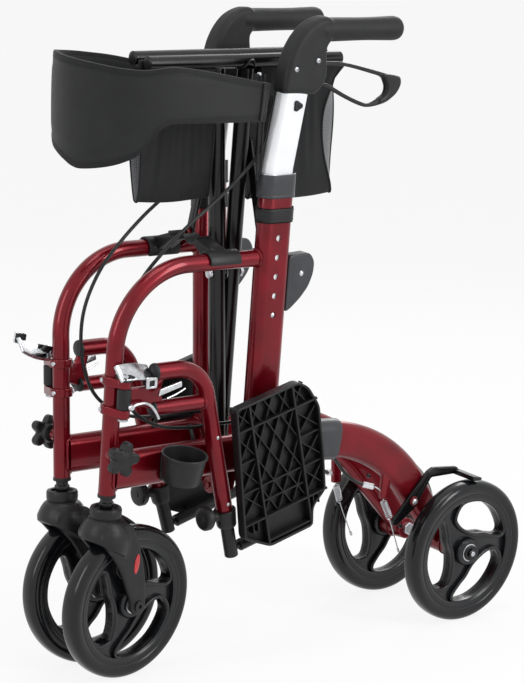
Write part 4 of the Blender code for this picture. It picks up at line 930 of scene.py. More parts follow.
def build_frame_fittings():
    """Collars, bands, brackets, plugs and screws of a half, the same on both."""
    collar_line = [(337.0, RAIL_W), (REAR_BEND_Y, RAIL_W)]
    collar_line += arc((REAR_BEND_Y, RAIL_W - REAR_BEND), REAR_BEND, 90, 90 - REAR_TURN, 2)[1:5]
    collar = bar(collar_line, stadium(RAIL[0] + 7, RAIL[1] + 7))
    shaped(collar, "BEVEL", width=2.2, segments=4, limit_method="ANGLE", angle_limit=radians(60))
    pair("rail_collar", collar, "grey_nylon")

    inner = upright_oval(HANDLE[0] + 0.6, HANDLE[1] + 0.6)
    top = UPRIGHT_TOP_W
    body = joined(sleeve(4.5, top + 0.3, top + 31, 1.4, inner, 3),
        sleeve(5.4, top + 0.3, top + 4.5, 1.0, inner))
    pair("top_collar", body, "grey_nylon")
    rim = sleeve(3.2, top + 30.2, top + 31.4, 0.5, inner)
    pair("top_collar_rim", rim, "chrome")

    inner = upright_oval(UPRIGHT[0] + 0.6, UPRIGHT[1] + 0.6)
    band = sleeve(5, 588, 607, 2.2, inner, 4)
    ridges = [sleeve(5.8, w, w + 1.6, 0.7, inner) for w in (590.5, 603.0)]
    pair("upright_band", joined(band, *ridges), "nylon")

    rear = UPRIGHT_Y + UPRIGHT[0] / 2
    outline = rounded([(rear - 1, 542), (rear + 34, 544), (rear + 43, 532), (rear + 42, 515),
        (rear + 35, 498), (rear + 22, 483), (rear + 6, 470), (rear - 1, 467)], 7)
    pair("quarter_bracket", plate(outline, -8.5, 8.5, ease=1.8, steps=4), "grey_nylon")
    rivets = [lathe([(0, 1.9), (2.0, 1.6), (3.4, 0.6), (3.7, -0.4), (0, -0.4)], (sign * 8.5, rear + 21, 517),
        (sign, 0, 0), 32) for sign in (-1, 1)]
    pair("bracket_rivet", joined(*rivets), "chrome")

    bush = lathe([(0, -1.6), (POST_R + 0.2, -1.6), (POST_R + 0.6, -1.0), (POST_R + 0.6, 2.2),
        (POST_R - 0.5, 3.0), (0, 3.0)], (0, 0, POST_FOOT_W))
    pair("stem_bush", bush, "nylon")

    axle = (REAR_AXLE_Y, wheel_height(0.0, REAR_WHEEL_U))
    end = REAR_WHEEL_U + HUB_HALF
    washer = on_u([(0, 0), (10.2, 0), (11, 0.7), (11, 2.6), (10, 3.4), (7.4, 3.4), (7.4, 2.6), (0, 2.6)],
        (end + 0.3, *axle))
    stub = rod((end + 1, *axle), (end + 8, *axle), 3.6, 0.6)
    shank = rod((-17, *axle), (end + 2, *axle), AXLE_R)
    inner_nut = hex_nut((-14.3, *axle), (-1, 0, 0), 16.5, 6)
    pair("rear_axle", joined(stub, shank, inner_nut), "zinc")
    pair("rear_axle_washer", washer, "nylon")
    nut = hex_nut((end + 3.0, *axle), (1, 0, 0), 12, 4.4)
    pair("rear_axle_nut", nut, "black")

    screws = [socket_screw((RAIL[1] / 2 + 0.2, y, w), 3.2) for y, w in ((430, 224), (497, 142))]
    pair("rear_arm_screws", joined(*screws), "black")


def build_saddle():
    """Clip round the arm, and a narrower strut from it to the trough that a seat rail lands in."""
    u, w = local(CROSS_PIVOT_X, SEAT_OPEN_W)
    trough_r = SEAT_RAIL_R + 2.6
    wall = 2.2
    centre = (u, w - SEAT_RAIL_R - 0.4 + trough_r)
    clip = arc((0, ARM_W), SADDLE_CLIP_R, 226, -8) + arc((0, ARM_W), POST_R + 0.6, -8, 226)
    clip = rounded(clip, 0.6, 2)
    outline = arc(centre, trough_r + wall, 206, 300)
    outline += arc((0, ARM_W), SADDLE_CLIP_R - 0.6, 192, 100)
    outline += arc(centre, trough_r + wall, -26, -18)
    outline += arc(centre, trough_r, -18, -154)
    strut = plate(outline, 144, 169, "y", 1.0)
    body = joined(plate(clip, 132, 181, "y", 1.0), strut)
    pair("seat_saddle", body, "nylon")


def build_hinge():
    """Two clamp rings on the post, the hinge pin, and the ear that carries the latch."""
    rings = []
    for w in HINGE_RING_W:
        outline = arc((0, 0), 14.6, 55, 305) + arc((HINGE_U, 0), 8.5, -65, 65)
        rings.append(plate(outline, w - HINGE_RING_HALF, w + HINGE_RING_HALF, "w", 1.2,
            [circle(POST_R + 0.3)], 3))
    low, high = HINGE_RING_W
    y, w = LATCH_PIVOT
    ear = plate(rounded([(y - 5, high), (y + 7, high), (y + 5, w + 2), (y, w + 5), (y - 4, w + 2)], 2),
        HINGE_U - 2, HINGE_U + 2)
    pair("hinge_bracket", joined(*rings, ear), "candy")
    pin = rod((HINGE_U, 0, low - 8), (HINGE_U, 0, high + 4), 4)
    head = lathe([(0, 0), (6, 0), (6.5, 0.6), (6.5, 2.4), (5.6, 3.2), (0, 3.2)], (HINGE_U, 0, low - 9.5))
    latch_pin = rod((HINGE_U - 11, y, w), (HINGE_U + 11, y, w), 2.5)
    bolts = [hex_nut((-4, -13.8, ring), (0, -1, 0), 5.5, 2.4) for ring in HINGE_RING_W]
    tails = [hex_nut((-4, 13.8, ring), (0, 1, 0), 5.5, 2.4) for ring in HINGE_RING_W]
    pair("hinge_pins", joined(pin, head, latch_pin, *bolts, *tails), "zinc")


# Handles

def handle_line():
    rise = HANDLE_TOP_W - HANDLE_KINK_W
    end = (UPRIGHT_Y + rise * tan(radians(HANDLE_LEAN)), HANDLE_TOP_W)
    return bent([(UPRIGHT_Y, HANDLE_FOOT_W), (UPRIGHT_Y, HANDLE_KINK_W), end], 60, 1.0)


def on_handle(w):
    """y of the leaning stretch's middle line at a height."""
    return UPRIGHT_Y + (w - HANDLE_KINK_W) * tan(radians(HANDLE_LEAN))


def build_handle():
    pair("handle_tube", bar(handle_line(), stadium(*HANDLE)), "silver", "handle_{}")

    face = HANDLE[1] / 2
    w = PLUG_W
    y = on_handle(w) + 4
    lobes = lobed(lambda angle: 6.4 + 1.2 * cos(3 * angle), (y, w), 48)
    knob = plate(lobes, face - 1, face + 2.6, ease=1.1, steps=3)
    pair("height_plug", joined(knob, socket_screw((face + 2.2, y, w), 2.2)), "nylon", "handle_{}")

    inside = HANDLE[1] / 2 - 2
    nose = lathe([(0, 3.3), (1.8, 3.0), (3.2, 1.8), (BUTTON_R - 0.5, 0), (BUTTON_R - 0.5, -4), (0, -4)],
        (inside + 1.6, UPRIGHT_Y, BUTTON_W), (1, 0, 0), 32)
    pair("snap_button", nose, "chrome", "button_{}")

    build_grip()
    build_lever()


def build_grip():
    """Moulded housing on the tube's top, which runs on into the hand grip."""
    outline = curved([(231.5, 758), (232.5, 770), (235, 786), (239, 801), (244, 813), (253, 827), (266, 840),
        (281, 848), (296, 851.5), (306, 848), (309, 835), (306, 821), (300, 812), (300.5, 795.5), (302, 779),
        (298, 766), (289, 756), (280, 752), (258, 753.5), (236, 754.5)], True, 6)
    housing = plate(outline, -14.5, 14.5, ease=7.5, steps=6)
    length = GRIP_END_Y - GRIP_START_Y
    profile = [(0, 0), (GRIP_R - 1, 0), (GRIP_R, 3), (GRIP_R - 0.3, 20), (GRIP_R - 1.0, length * 0.55),
        (GRIP_R - 0.2, length - 24), (GRIP_R, length - 12), (GRIP_R - 1.2, length - 5),
        (GRIP_R - 5, length - 1), (0, length)]
    profile = [profile[0]] + curved(profile[1:-1], steps=6) + [profile[-1]]
    grip = lathe(profile, (0, GRIP_START_Y, GRIP_W), (0, 1, 0), 64)
    body = moulded(joined(housing, grip), 1.4, 9)
    pair("grip", body, "grip", "handle_{}", angle=60)

    screws = [socket_screw((13.9, *at), 3.6) for at in HOUSING_SCREWS]
    pair("grip_screws", joined(*screws), "zinc", "handle_{}")
    collars = [lathe([(3.2, -1), (5.8, -1), (6.2, 0), (5.4, 0.7), (4.0, 0.5), (3.2, -0.4), (3.2, -1)],
        (14.2, *at), (1, 0, 0), 32) for at in HOUSING_SCREWS]
    pair("grip_screw_seats", joined(*collars), "nylon", "handle_{}")
    cap = lathe([(0, 0.9), (9, 0.7), (11, -0.4), (11, -1.5), (0, -1.5)], (0, GRIP_END_Y - 0.6, GRIP_W),
        (0, 1, 0))
    pair("grip_end_cap", cap, "nylon", "handle_{}")


def build_lever():
    """The brake lever: a slim loop of bar from inside the housing that broadens into a finger pad."""
    outer = curved([(297, 789), (305, 792.5), (318, 792.8), (336, 791.2), (356, 787.5), (386, 780.8),
        (414, 774.3), (432, 771.5), (437.6, 767.5), (437.6, 759), (433, 751), (424.5, 742), (410.5, 735),
        (386, 731), (369, 733.8), (341, 744.8), (313, 758), (300, 763), (296, 775)], True, 6)
    inner = curved([(301, 786), (318, 787.6), (335, 786.4), (356, 782.4), (384, 775.6), (402, 770.6),
        (408.5, 764), (412, 755), (409, 746.5), (400, 741), (386, 736), (371, 738.8), (343, 749.6),
        (315, 763), (302, 768)], True, 6)
    loop = plate(outer, -3.4, 3.4, ease=2.2, holes=[inner], steps=4)
    pad = plate(curved([(404, 774), (420, 773), (433, 770), (436.5, 764), (435, 756), (428, 746.5),
        (414, 738), (402, 735), (402, 741), (411, 747), (413.5, 756), (409, 766)], True, 5), -6.2, 6.2,
        ease=2.8, steps=4)
    body = moulded(joined(loop, pad), 0.9, 3)
    pair("brake_lever", body, "nylon", "lever_{}", angle=60)


# Wheels and forks

WINDOW_CORNERS = [(14, 67), (21, 51), (36, 39), (62, 28), (95, 31), (112, 43), (114, 57), (99, 71), (72, 73),
    (46, 73), (22, 72.5)]


def window_outline(number):
    points = []
    for angle, radius in WINDOW_CORNERS:
        turn = radians(angle + 120 * number)
        points.append((radius * cos(turn), radius * sin(turn)))
    return curved(points, True, 6)


def wheel_web():
    """Thin web with three swept windows in raised walls, rim and hub, drawn round the origin."""
    windows = [window_outline(n) for n in range(3)]
    web = plate(circle(RIM_INNER_R + 3, count=96), -WEB_HALF, WEB_HALF, ease=0.8, holes=windows)
    walls = [plate(grown(w, WINDOW_WALL), -WINDOW_WALL_HALF, WINDOW_WALL_HALF, ease=1.6, holes=[w], steps=4)
        for w in windows]
    hub = on_u([(AXLE_R + 0.3, -HUB_HALF), (HUB_R - 3, -HUB_HALF), (HUB_R - 1.6, -HUB_HALF + 1.2),
        (HUB_R, -WINDOW_WALL_HALF - 1), (HUB_R, WINDOW_WALL_HALF + 1), (HUB_R - 1.6, HUB_HALF - 1.2),
        (HUB_R - 3, HUB_HALF), (AXLE_R + 0.3, HUB_HALF), (AXLE_R + 0.3, -HUB_HALF)], (0, 0, 0), 1, 64)
    rim = on_u([(74.5, -10.2), (76, -11.4), (78.5, -12.0), (81.5, -11.8), (82.5, -9), (82.5, 9),
        (81.5, 11.8), (78.5, 12.0), (76, 11.4), (74.5, 10.2), (74.5, -10.2)], (0, 0, 0), 1, 128)
    return joined(web, *walls, hub, rim)


def wheel_tyre():
    """Cast tread with a crowned tyre, a step at each side and a shoulder line."""
    half = [(80.0, 12.0), (83.0, 12.6), (84.5, 12.2), (86.0, 12.9), (90.0, 13.8), (93.5, 13.9), (96.5, 13.0),
        (99.2, 10.6), (100.8, 7.2), (101.4, 3.6), (101.6, 0.0)]
    profile = curved([(r, -h) for r, h in half] + [(r, h) for r, h in half[-2::-1]], steps=3)
    return on_u(profile + [profile[0]], (0, 0, 0), 1, 128)


def build_wheels():
    web = wheel_web()
    tyre = wheel_tyre()
    bearing = [lathe([(AXLE_R + 0.4, 0), (12.5, 0), (12.5, 0.7), (11.5, 1.1), (8.5, 1.1), (8, 0.6),
        (AXLE_R + 0.4, 0.6)], (sign * (HUB_HALF - 0.4), 0, 0), (sign, 0, 0)) for sign in (-1, 1)]
    bearing = joined(*bearing)
    for side in SIDES:
        spots = (("front", f"{side}_caster", (0, CASTER_TRAIL,
            wheel_height(CASTER_TURN[side], 0.0, CASTER_TRAIL))),
            ("rear", side, (REAR_WHEEL_U, REAR_AXLE_Y, wheel_height(0.0, REAR_WHEEL_U))))
        for end, home, centre in spots:
            body = f"{end}_wheel_body_{side}"
            for name, piece, finish, node in (("web", web, "wheel", f"{end}_wheel_{side}"),
                    ("tread", tyre, "tread", ""), ("bearings", bearing, "zinc", "")):
                made = copied(piece)
                made.data.transform(Matrix.Translation(centre))
                settle(f"{end}_wheel_{name}_{side}", made, home, body, finish, node=node)
    for piece in (web, tyre, bearing):
        bpy.data.objects.remove(piece)


def fork_body(axle_w):
    """Domed crown, hollow over the wheel and cut off along a slope, with two legs that taper to the axle."""
    inner = TYRE_HALF + 3.5
    outer = inner + FORK_LEG_THICK
    top = FORK_TOP_W
    leg = curved([(-13, top - 9), (-24, 203), (-23, 196), (-13, 184), (-1, 171), (9, 156), (17, 140),
        (24, 124), (30.6, axle_w + 8)] + arc((CASTER_TRAIL, axle_w), 12.4, 190, 350, 20)
        + [(56.6, axle_w + 10), (55, 130), (50.5, 154), (43, 178), (34, 199), (22, top - 8)], True, 5)
    dome = lathe([(0, top), (FORK_DISC_R - 1.5, top), (24, 219.5), (28.5, 213), (31.5, 205), (33, 196),
        (33, 184), (30, 170), (0, 170)], (0, 0, 0), (0, 0, 1), 64)
    cut(dome, plate([(-60, 213), (34, 163), (34, 120), (-60, 120)], -60, 60, ease=0.1, steps=1))
    legs = [plate(leg, *sorted((s * inner, s * outer)), ease=2.4, steps=4) for s in (-1, 1)]
    body = joined(dome, *legs)
    shaped(body, "REMESH", mode="VOXEL", voxel_size=1.5)
    cut(body, rod((-inner, CASTER_TRAIL, axle_w), (inner, CASTER_TRAIL, axle_w), WHEEL_R + 9, 0.2, steps=96))
    return moulded(body, 1.3, 6)


def build_casters():
    for side in SIDES:
        home = f"{side}_caster"
        body = f"caster_{side}"
        y = CASTER_TRAIL
        axle_w = wheel_height(CASTER_TURN[side], 0.0, y)
        top = FORK_TOP_W

        def fit(name, piece, finish, angle=32.0):
            settle(f"{name}_{side}", piece, home, body, finish, angle=angle)

        fit("caster_fork", fork_body(axle_w), "nylon", angle=60)
        disc = lathe([(0, -1), (19.4, -1), (FORK_DISC_R - 0.2, 1.6), (FORK_DISC_R, 3), (FORK_DISC_R, 10.5),
            (19.4, 12.8), (16.6, 13.4), (15.2, 12.4), (14.2, 9.6), (0, 9.6)], (0, 0, top), (0, 0, 1), 64)
        fit("caster_disc", disc, "nylon")
        stem = rod((0, 0, top + 8), (0, 0, top + 70), STEM_R, 0.6)
        nut = hex_nut((0, 0, top + 15), (0, 0, 1), 17, 5)
        fit("caster_stem", joined(stem, nut), "black")

        outer = TYRE_HALF + 3.5 + FORK_LEG_THICK
        shank = rod((-outer, y, axle_w), (outer, y, axle_w), 5.6, 0.3)
        heads = [lathe([(0, 1.0), (2.6, 1.0), (2.6, 3.0), (6.6, 2.8), (7.4, 2.0), (7.4, -0.6), (0, -0.6)],
            (sign * outer, y, axle_w), (sign, 0, 0), 32) for sign in (-1, 1)]
        fit("front_axle", joined(shank, *heads), "black")
        spacers = []
        for sign in (-1, 1):
            rings = [(8, 0), (9.4, 0.25), (9.4, 0.6), (8, 0.85)]
            for start in (HUB_HALF + 0.2, HUB_HALF + 1.05):
                spacers.append(lathe(rings + [rings[0]], (sign * start, y, axle_w), (sign, 0, 0), 32))
        fit("front_axle_spacers", joined(*spacers), "zinc")

        lens = [(36 + 4.2 * cos(a) + 1.6 * sin(a), 160 + 13 * sin(a))
            for a in [tau * i / 40 for i in range(40)]]
        fit("fork_reflector", plate(lens, outer - 1.2, outer + 1.1, ease=0.9, steps=3), "reflector")


# Footrests

def leg_axes():
    lean = radians(LEG_LEAN)
    return Vector((sin(lean), -cos(lean))), Vector((cos(lean), sin(lean)))


def on_leg(down, across=0.0):
    along, side = leg_axes()
    return tuple(Vector(LEG_FOOT) + along * down + side * across)


def build_hanger():
    slope = cos(radians(LEG_LEAN))
    corner = on_leg(-(HANGER_TOP_W - LEG_FOOT[1]) / slope)
    line = bent([(HANGER_SEEN_Y, HANGER_TOP_W), corner, LEG_FOOT], 52, 2.5)
    tube = wire([(HINGE_U, *p) for p in line], HANGER_R, sides=40)
    low_end = on_leg(-(HANGER_LOW_W - LEG_FOOT[1]) / slope)
    low = wire([(HINGE_U, HANGER_SEEN_Y, HANGER_LOW_W), (HINGE_U, low_end[0], HANGER_LOW_W)], 9.5, sides=32)
    bottom = HINGE_RING_W[0] + HINGE_RING_HALF + 0.5
    top = HINGE_RING_W[1] - HINGE_RING_HALF - 0.5
    sleeve = rod((HINGE_U, 0, bottom), (HINGE_U, 0, top), 9, 0.8, steps=40)
    outline = [(2, bottom), (2, top), (38, top), (44, HANGER_TOP_W - 5), (60, HANGER_TOP_W - 5), (54, 390),
        (60, HANGER_LOW_W + 3), (46, HANGER_LOW_W - 3), (30, bottom)]
    web = plate(rounded(outline, 5), HINGE_U - 3, HINGE_U + 3, ease=1.0)
    bead = wire([(HINGE_U + a, low_end[0] - HANGER_R * 0.9, HANGER_LOW_W + b)
        for a, b in circle(9.9, count=28)], 1.5, True, 10)
    pair("footrest_hanger", joined(tube, low, web, bead), "candy", "hanger_{}")
    pair("hanger_sleeve", sleeve, "nylon", "hanger_{}")
    plugs = []
    for w, radius in ((HANGER_TOP_W, HANGER_R), (HANGER_LOW_W, 9.5)):
        plugs.append(lathe([(0, 2.6), (radius - 2.5, 2.4), (radius - 0.4, 1.2), (radius + 0.3, -0.4),
            (radius + 0.3, -2.0), (0, -2.0)], (HINGE_U, HANGER_SEEN_Y, w), (0, -1, 0)))
    pair("hanger_plugs", joined(*plugs), "nylon", "hanger_{}")
    screws = []
    for down in (-118, -22):
        y, w = on_leg(down)
        screws.append(socket_screw((HINGE_U + HANGER_R - 0.3, y, w), 2.6))
    pair("hanger_screws", joined(*screws), "zinc", "hanger_{}")


def build_extension():
    """Inner leg tube, the cup that grips it, the lock disc on its stub and the footplate's pin."""
    start = (HINGE_U, *on_leg(-EXTENSION_TRAVEL - 22))
    foot = (HINGE_U, *on_leg(PLATE_PIVOT_DROP + 9))
    pivot = on_leg(PLATE_PIVOT_DROP)
    tube = rod(start, foot, EXTENSION_R, 0.8, steps=40)
    along, _ = leg_axes()
    cup = lathe([(HANGER_R + 0.4, 0), (14.2, 0), (15, 1.2), (14.6, 5), (13.4, 17), (13.0, 22), (12, 24),
        (EXTENSION_R, 24.4), (EXTENSION_R, 13), (HANGER_R + 0.4, 12.4), (HANGER_R + 0.4, 0)],
        (HINGE_U, *on_leg(-12)), (0, *along))
    pin_end = on_leg(PLATE_PIVOT_DROP, 127)
    pin = rod((HINGE_U, *pivot), (HINGE_U, *pin_end), 4, 0.6)
    cap = rod((HINGE_U, *on_leg(PLATE_PIVOT_DROP, 123.5)), (HINGE_U, *pin_end), 7, 1.0)
    pair("leg_extension", joined(tube, cup, pin, cap), "nylon", "leg_{}")
    stub = rod((HINGE_U, on_leg(0)[0] - 8, 207), (HINGE_U, 144, 207), 6.5, 0.6)
    disc = lathe([(0, 12.4), (4, 12.4), (5, 11.4), (11, 11.6), (14.4, 10.4), (16, 8), (16, 2), (14.6, 0),
        (0, 0)], (HINGE_U, 147, 207), (0, -1, 0), 40)
    pair("leg_lock_disc", joined(stub, disc), "nylon", "leg_{}")


PLATE_OUTLINE = [(5, 20), (22, 200), (127, 200), (142, 187), (155, 156), (152, 92), (146, 36), (122, 20),
    (117, -6), (44, -6)]
PLATE_WINDOW = (44.0, 116.0, 37.0, 167.0)


def rib(start, end, wide, low, high):
    a = Vector(start)
    b = Vector(end)
    side = Vector((-(b - a).y, (b - a).x)).normalized() * (wide / 2)
    return plate([tuple(a + side), tuple(b + side), tuple(b - side), tuple(a - side)], low, high, ease=0.5,
        steps=1)


def clipped(start, end, left, right):
    """The stretch of a straight line between two values of its first number."""
    a, b = Vector(start), Vector(end)
    if a.x > b.x:
        a, b = b, a
    low = max(0.0, (left - a.x) / (b.x - a.x))
    high = min(1.0, (right - a.x) / (b.x - a.x))
    return tuple(a.lerp(b, low)), tuple(a.lerp(b, high))


def plate_ribs(skin, top):
    """Lattice of the underside: long ribs, cross ribs and diamonds between them."""
    left, right, low, high = PLATE_WINDOW
    ribs = [rib((left, -4), (left, 198), 3.0, skin, top), rib((right, -4), (right, 198), 3.0, skin, top)]
    for y0, y1, w, wide, drop in ((10, 149, low, 2.8, 0), (18, 153, high, 2.8, 0),
            (left, right, low + 22, 2.2, 3), (left, right, low + 44, 2.2, 3), (left, right, 2, 2.6, 1),
            (14, left, 80, 2.2, 3), (right, 151, 80, 2.2, 3), (16, left, 122, 2.2, 3),
            (right, 153, 122, 2.2, 3)):
        ribs.append(rib((y0, w), (y1, w), wide, skin, top - drop))
    for x in (22, 30, 124, 133):
        ribs.append(rib((x, 22), (x + 1, low), 2.0, skin, top - 1))
    pitch = 24.0
    rise = 43.4
    for k in range(-3, 5):
        x = left + pitch * k
        for lower, upper in ((low, high), (high, 198.0)):
            reach = (upper - lower) / rise * pitch
            for a, b in (((x, lower), (x + reach, upper)), ((x + reach, lower), (x, upper))):
                if max(a[0], b[0]) <= left + 1 or min(a[0], b[0]) >= right - 1:
                    continue
                ends = clipped(a, b, left, right)
                if (Vector(ends[0]) - Vector(ends[1])).length > 6:
                    ribs.append(rib(*ends, 1.8, skin, top - 3.5))
    for y0, y1, z0, z1 in ((16, left, 50, 78), (17, left, 84, 118), (20, left, 126, 160),
            (22, left, 170, 196), (right, 149, 42, 76), (right, 152, 84, 118), (right, 153, 126, 160),
            (right, 135, 170, 196)):
        ribs.append(rib((y0, z0), (y1, z1), 1.8, skin, top - 3.5))
        ribs.append(rib((y1, z0), (y0, z1), 1.8, skin, top - 3.5))
    return ribs


def build_footplate():
    """Ribbed side out, drawn with y across the leg and w up it from the pivot, then leant onto the leg."""
    skin_u = PLATE_U[0] + 3
    outline = rounded(PLATE_OUTLINE, 7)
    skin = plate(outline, PLATE_U[0], skin_u, ease=0.7)
    rim = plate(outline, PLATE_U[0] + 0.4, PLATE_U[1], ease=1.1, holes=[grown(outline, -3.4)], steps=3)
    barrel = rod((HINGE_U, 14, 0), (HINGE_U, 119, 0), 8, 0.8, steps=32)
    web = plate([(44, -6), (119, -6), (119, 7), (44, 7)], HINGE_U, PLATE_U[0] + 1.5)
    whole = joined(skin, rim, barrel, web, *plate_ribs(skin_u - 0.6, PLATE_U[1] - 0.6))
    y, w = on_leg(PLATE_PIVOT_DROP)
    whole.data.transform(Matrix.Translation((0, y, w)) @ Matrix.Rotation(radians(LEG_LEAN), 4, "X"))
    pair("footplate", whole, "plate", "plate_{}")


def latch_pieces():
    """Paddle of bright plate, the black block under it and its clip, drawn from the pivot."""
    outline = curved([(-5.5, -1), (-5, 3.5), (0, 5), (10, 5.2), (22, 4.4), (36, 0.6), (46, -3.4),
        (47.4, -6.4), (44, -7.4), (34, -3.8), (22, -0.2), (8, 0.8), (-1, -0.6)], True, 5)
    paddle = plate(outline, HINGE_U - 12, HINGE_U + 12, ease=0.9, steps=3)
    lip = [wire([(HINGE_U + s * 11.4, a, b) for a, b in curved([(0, 3.6), (20, 2.8), (36, -1.4), (45, -5)],
        steps=6)], 1.3) for s in (-1, 1)]
    end = wire([(HINGE_U - 11.4, 45.6, -5.2), (HINGE_U + 11.4, 45.6, -5.2)], 1.5)
    side_of_block = rounded([(-3, -7.5), (9, -8), (14, -1.5), (8, 1.5), (-2, 1)], 2)
    blocks = [plate(side_of_block, HINGE_U + inner, HINGE_U + outer, ease=1.0)
        for inner, outer in ((3.2, 10.5), (-10.5, -3.2))]
    clip = plate(rounded([(30, -19), (47, -19), (47, -5), (30, -3.5)], 2.5), HINGE_U + 8.6, HINGE_U + 11.4,
        ease=0.7, holes=[rounded([(35, -16), (43, -16), (43, -8.5), (35, -8.5)], 1.5)])
    backing = plate(rounded([(31, -18), (46, -18), (46, -6), (31, -5)], 2), HINGE_U + 6.0, HINGE_U + 9.4,
        ease=0.5)
    paddle = joined(paddle, *lip, end)
    about = Matrix.Translation((HINGE_U, 0, 2))
    paddle.data.transform(about @ Matrix.Rotation(radians(PADDLE_LEAN), 4, "Y") @ about.inverted())
    return ((paddle, "paddle", "chrome"), (joined(*blocks, backing), "block", "nylon"),
        (clip, "clip", "chrome"))


def build_latch():
    for piece, name, finish in latch_pieces():
        for side in SIDES:
            made = copied(piece)
            turn = Matrix.Rotation(radians(LATCH_TURN[side]), 4, "X")
            made.data.transform(Matrix.Translation((0, *LATCH_PIVOT)) @ turn)
            node = f"hanger_latch_{side}" if name == "paddle" else ""
            settle(f"latch_{name}_{side}", made, side, f"latch_{side}", finish, node=node)
        bpy.data.objects.remove(piece)

    catch = plate(rounded([(44, 384.5), (46, 393), (79, 400.5), (80, 393.5)], 1.5), HINGE_U + 10.6,
        HINGE_U + 13.2, ease=0.6)
    hook = wire([(HINGE_U + 11.5, a, b) for a, b in curved([(5, 374), (12, 377), (24, 377.5), (34, 373),
        (42, 364), (47, 355)], steps=8)], 2.1)
    tail = wire([(HINGE_U + 11.5, a, b) for a, b in curved([(58, 380), (72, 384), (86, 390)], steps=5)], 1.2)
    stud = lathe([(0, 4), (3.2, 3.6), (4.2, 2), (4.2, -3), (0, -3)], (HINGE_U + 10, 4, 374), (1, 0, 0), 24)
    pair("hanger_catch", joined(catch, hook, tail, stud), "chrome", "hanger_{}")


def build_star_knob():
    y, w = KNOB
    points = lobed(lambda angle: 19.2 + 4.6 * cos(5 * angle) - 0.7 * cos(10 * angle), (y, w), 120)
    head = plate(points, 26, 39, ease=3.2, steps=6)
    start = POST_R + 2.8
    collar = lathe([(0, 0), (5, 0), (5, 4), (11, 5.5), (13, 10), (13, 13), (0, 13)], (start, y, w),
        (1, 0, 0))
    dome = lathe([(0, 1.4), (6, 1.1), (9.5, 0.2), (10.2, -0.8), (0, -0.8)], (38.8, y, w), (1, 0, 0))
    pair("star_knob", joined(head, collar, dome), "nylon", "knob_{}")


# Brake arm, spring and cable

def build_brake():
    y, w = BRAKE_PIVOT
    shoe_w = wheel_height(0.0, REAR_WHEEL_U) + WHEEL_R + BRAKE_CLEAR
    outline = rounded([(478, 146), (486, 146), (y + 6, w - 10), (543, 208), (592, shoe_w), (596, shoe_w + 4),
        (590, shoe_w + 10), (545, 222), (536, 218), (y - 8, w + 6), (478, 154)], 3)
    arm = plate(outline, *BRAKE_ARM_U, ease=0.8, steps=3)
    lip = plate(rounded([(y + 4, w - 2), (541, 212), (590, shoe_w + 5), (590, shoe_w + 9), (546, 220.5),
        (537, 216.5), (y - 4, w + 4)], 2), BRAKE_ARM_U[1] - 0.2, BRAKE_ARM_U[1] + 0.9, ease=0.4,
        holes=[rounded([(y + 5, w + 3), (540, 214), (588, shoe_w + 6.5), (546, 218.5), (538, 215)], 1)])
    shoe = plate(rounded([(584, shoe_w), (600, shoe_w), (600, shoe_w + 4), (584, shoe_w + 7)], 1.5),
        BRAKE_ARM_U[0] + 1, REAR_WHEEL_U + TYRE_HALF, ease=0.9)
    pair("brake_arm", joined(arm, lip, shoe), "black", "brake_{}")
    bolt = [socket_screw((BRAKE_ARM_U[1] + 3, y, w), 4.4)]
    pair("brake_pivot_screw", joined(*bolt), "zinc")

    start = Vector((4.5, 469.0, 179.0))
    end = Vector((8.5, 479.0, 156.0))
    along = (end - start).normalized()
    one = along.cross(Vector((1, 0, 0))).normalized()
    two = along.cross(one)
    turns = 9
    points = [Vector((4.5, 469.0, 182.6))]
    for i in range(turns * 16 + 1):
        t = i / (turns * 16)
        angle = tau * turns * t
        points.append(start + (end - start) * t + (one * cos(angle) + two * sin(angle)) * 4.2)
    points.append(Vector((BRAKE_ARM_U[0] - 1.1, 482.0, 150.0)))
    pair("return_spring", wire(points, 0.75, sides=8), "zinc")

    rings = [(3.0, 0)]
    for i in range(7):
        rings += [(4.3, 1.0 + i * 2.0), (4.3, 2.0 + i * 2.0), (3.6, 2.3 + i * 2.0), (3.6, 2.8 + i * 2.0)]
    profile = [(0, 0)] + rings + [(2.4, 16), (0, 16)]
    barrel = lathe(profile, (-9.5, 441, 203.8), Vector((10, 13, -3)).normalized(), 24)
    pair("cable_adjuster", barrel, "silver")
    inner = wire(curved([(1, 453, 202), (3.4, 462, 196), (4.4, 468, 186), (4.5, 469, 180)], steps=6), 0.9,
        sides=8)
    wire_end = wire(curved([(8.5, 479.5, 154), (9, 486, 138), (8.8, 494, 120), (8.6, 500, 106)], steps=6),
        0.8, sides=8)
    nipple = rod((8.6, 499.5, 107.5), (8.6, 502, 102), 1.7, 0.4, steps=16)
    pair("brake_wire", joined(inner, wire_end, nipple), "zinc")


CABLE_ROUTE = [(-17, 236, 742), (-18, 233, 720), (-19, 224, 676), (-19, 190, 641), (-20, 156, 613),
    (-20, 119, 587), (-20, 82, 556), (-20, 48, 520), (-20, 24, 475), (-19, 18, 430), (-18, 26, 385),
    (-18, 48, 350), (-18, 91, 326), (-18, 140, 319), (-18, 175, 319), (-18, 262, 314), (-18, 320, 300),
    (-20, 372, 268), (-18, 415, 220), (-10, 440, 204), (1, 453, 202)]


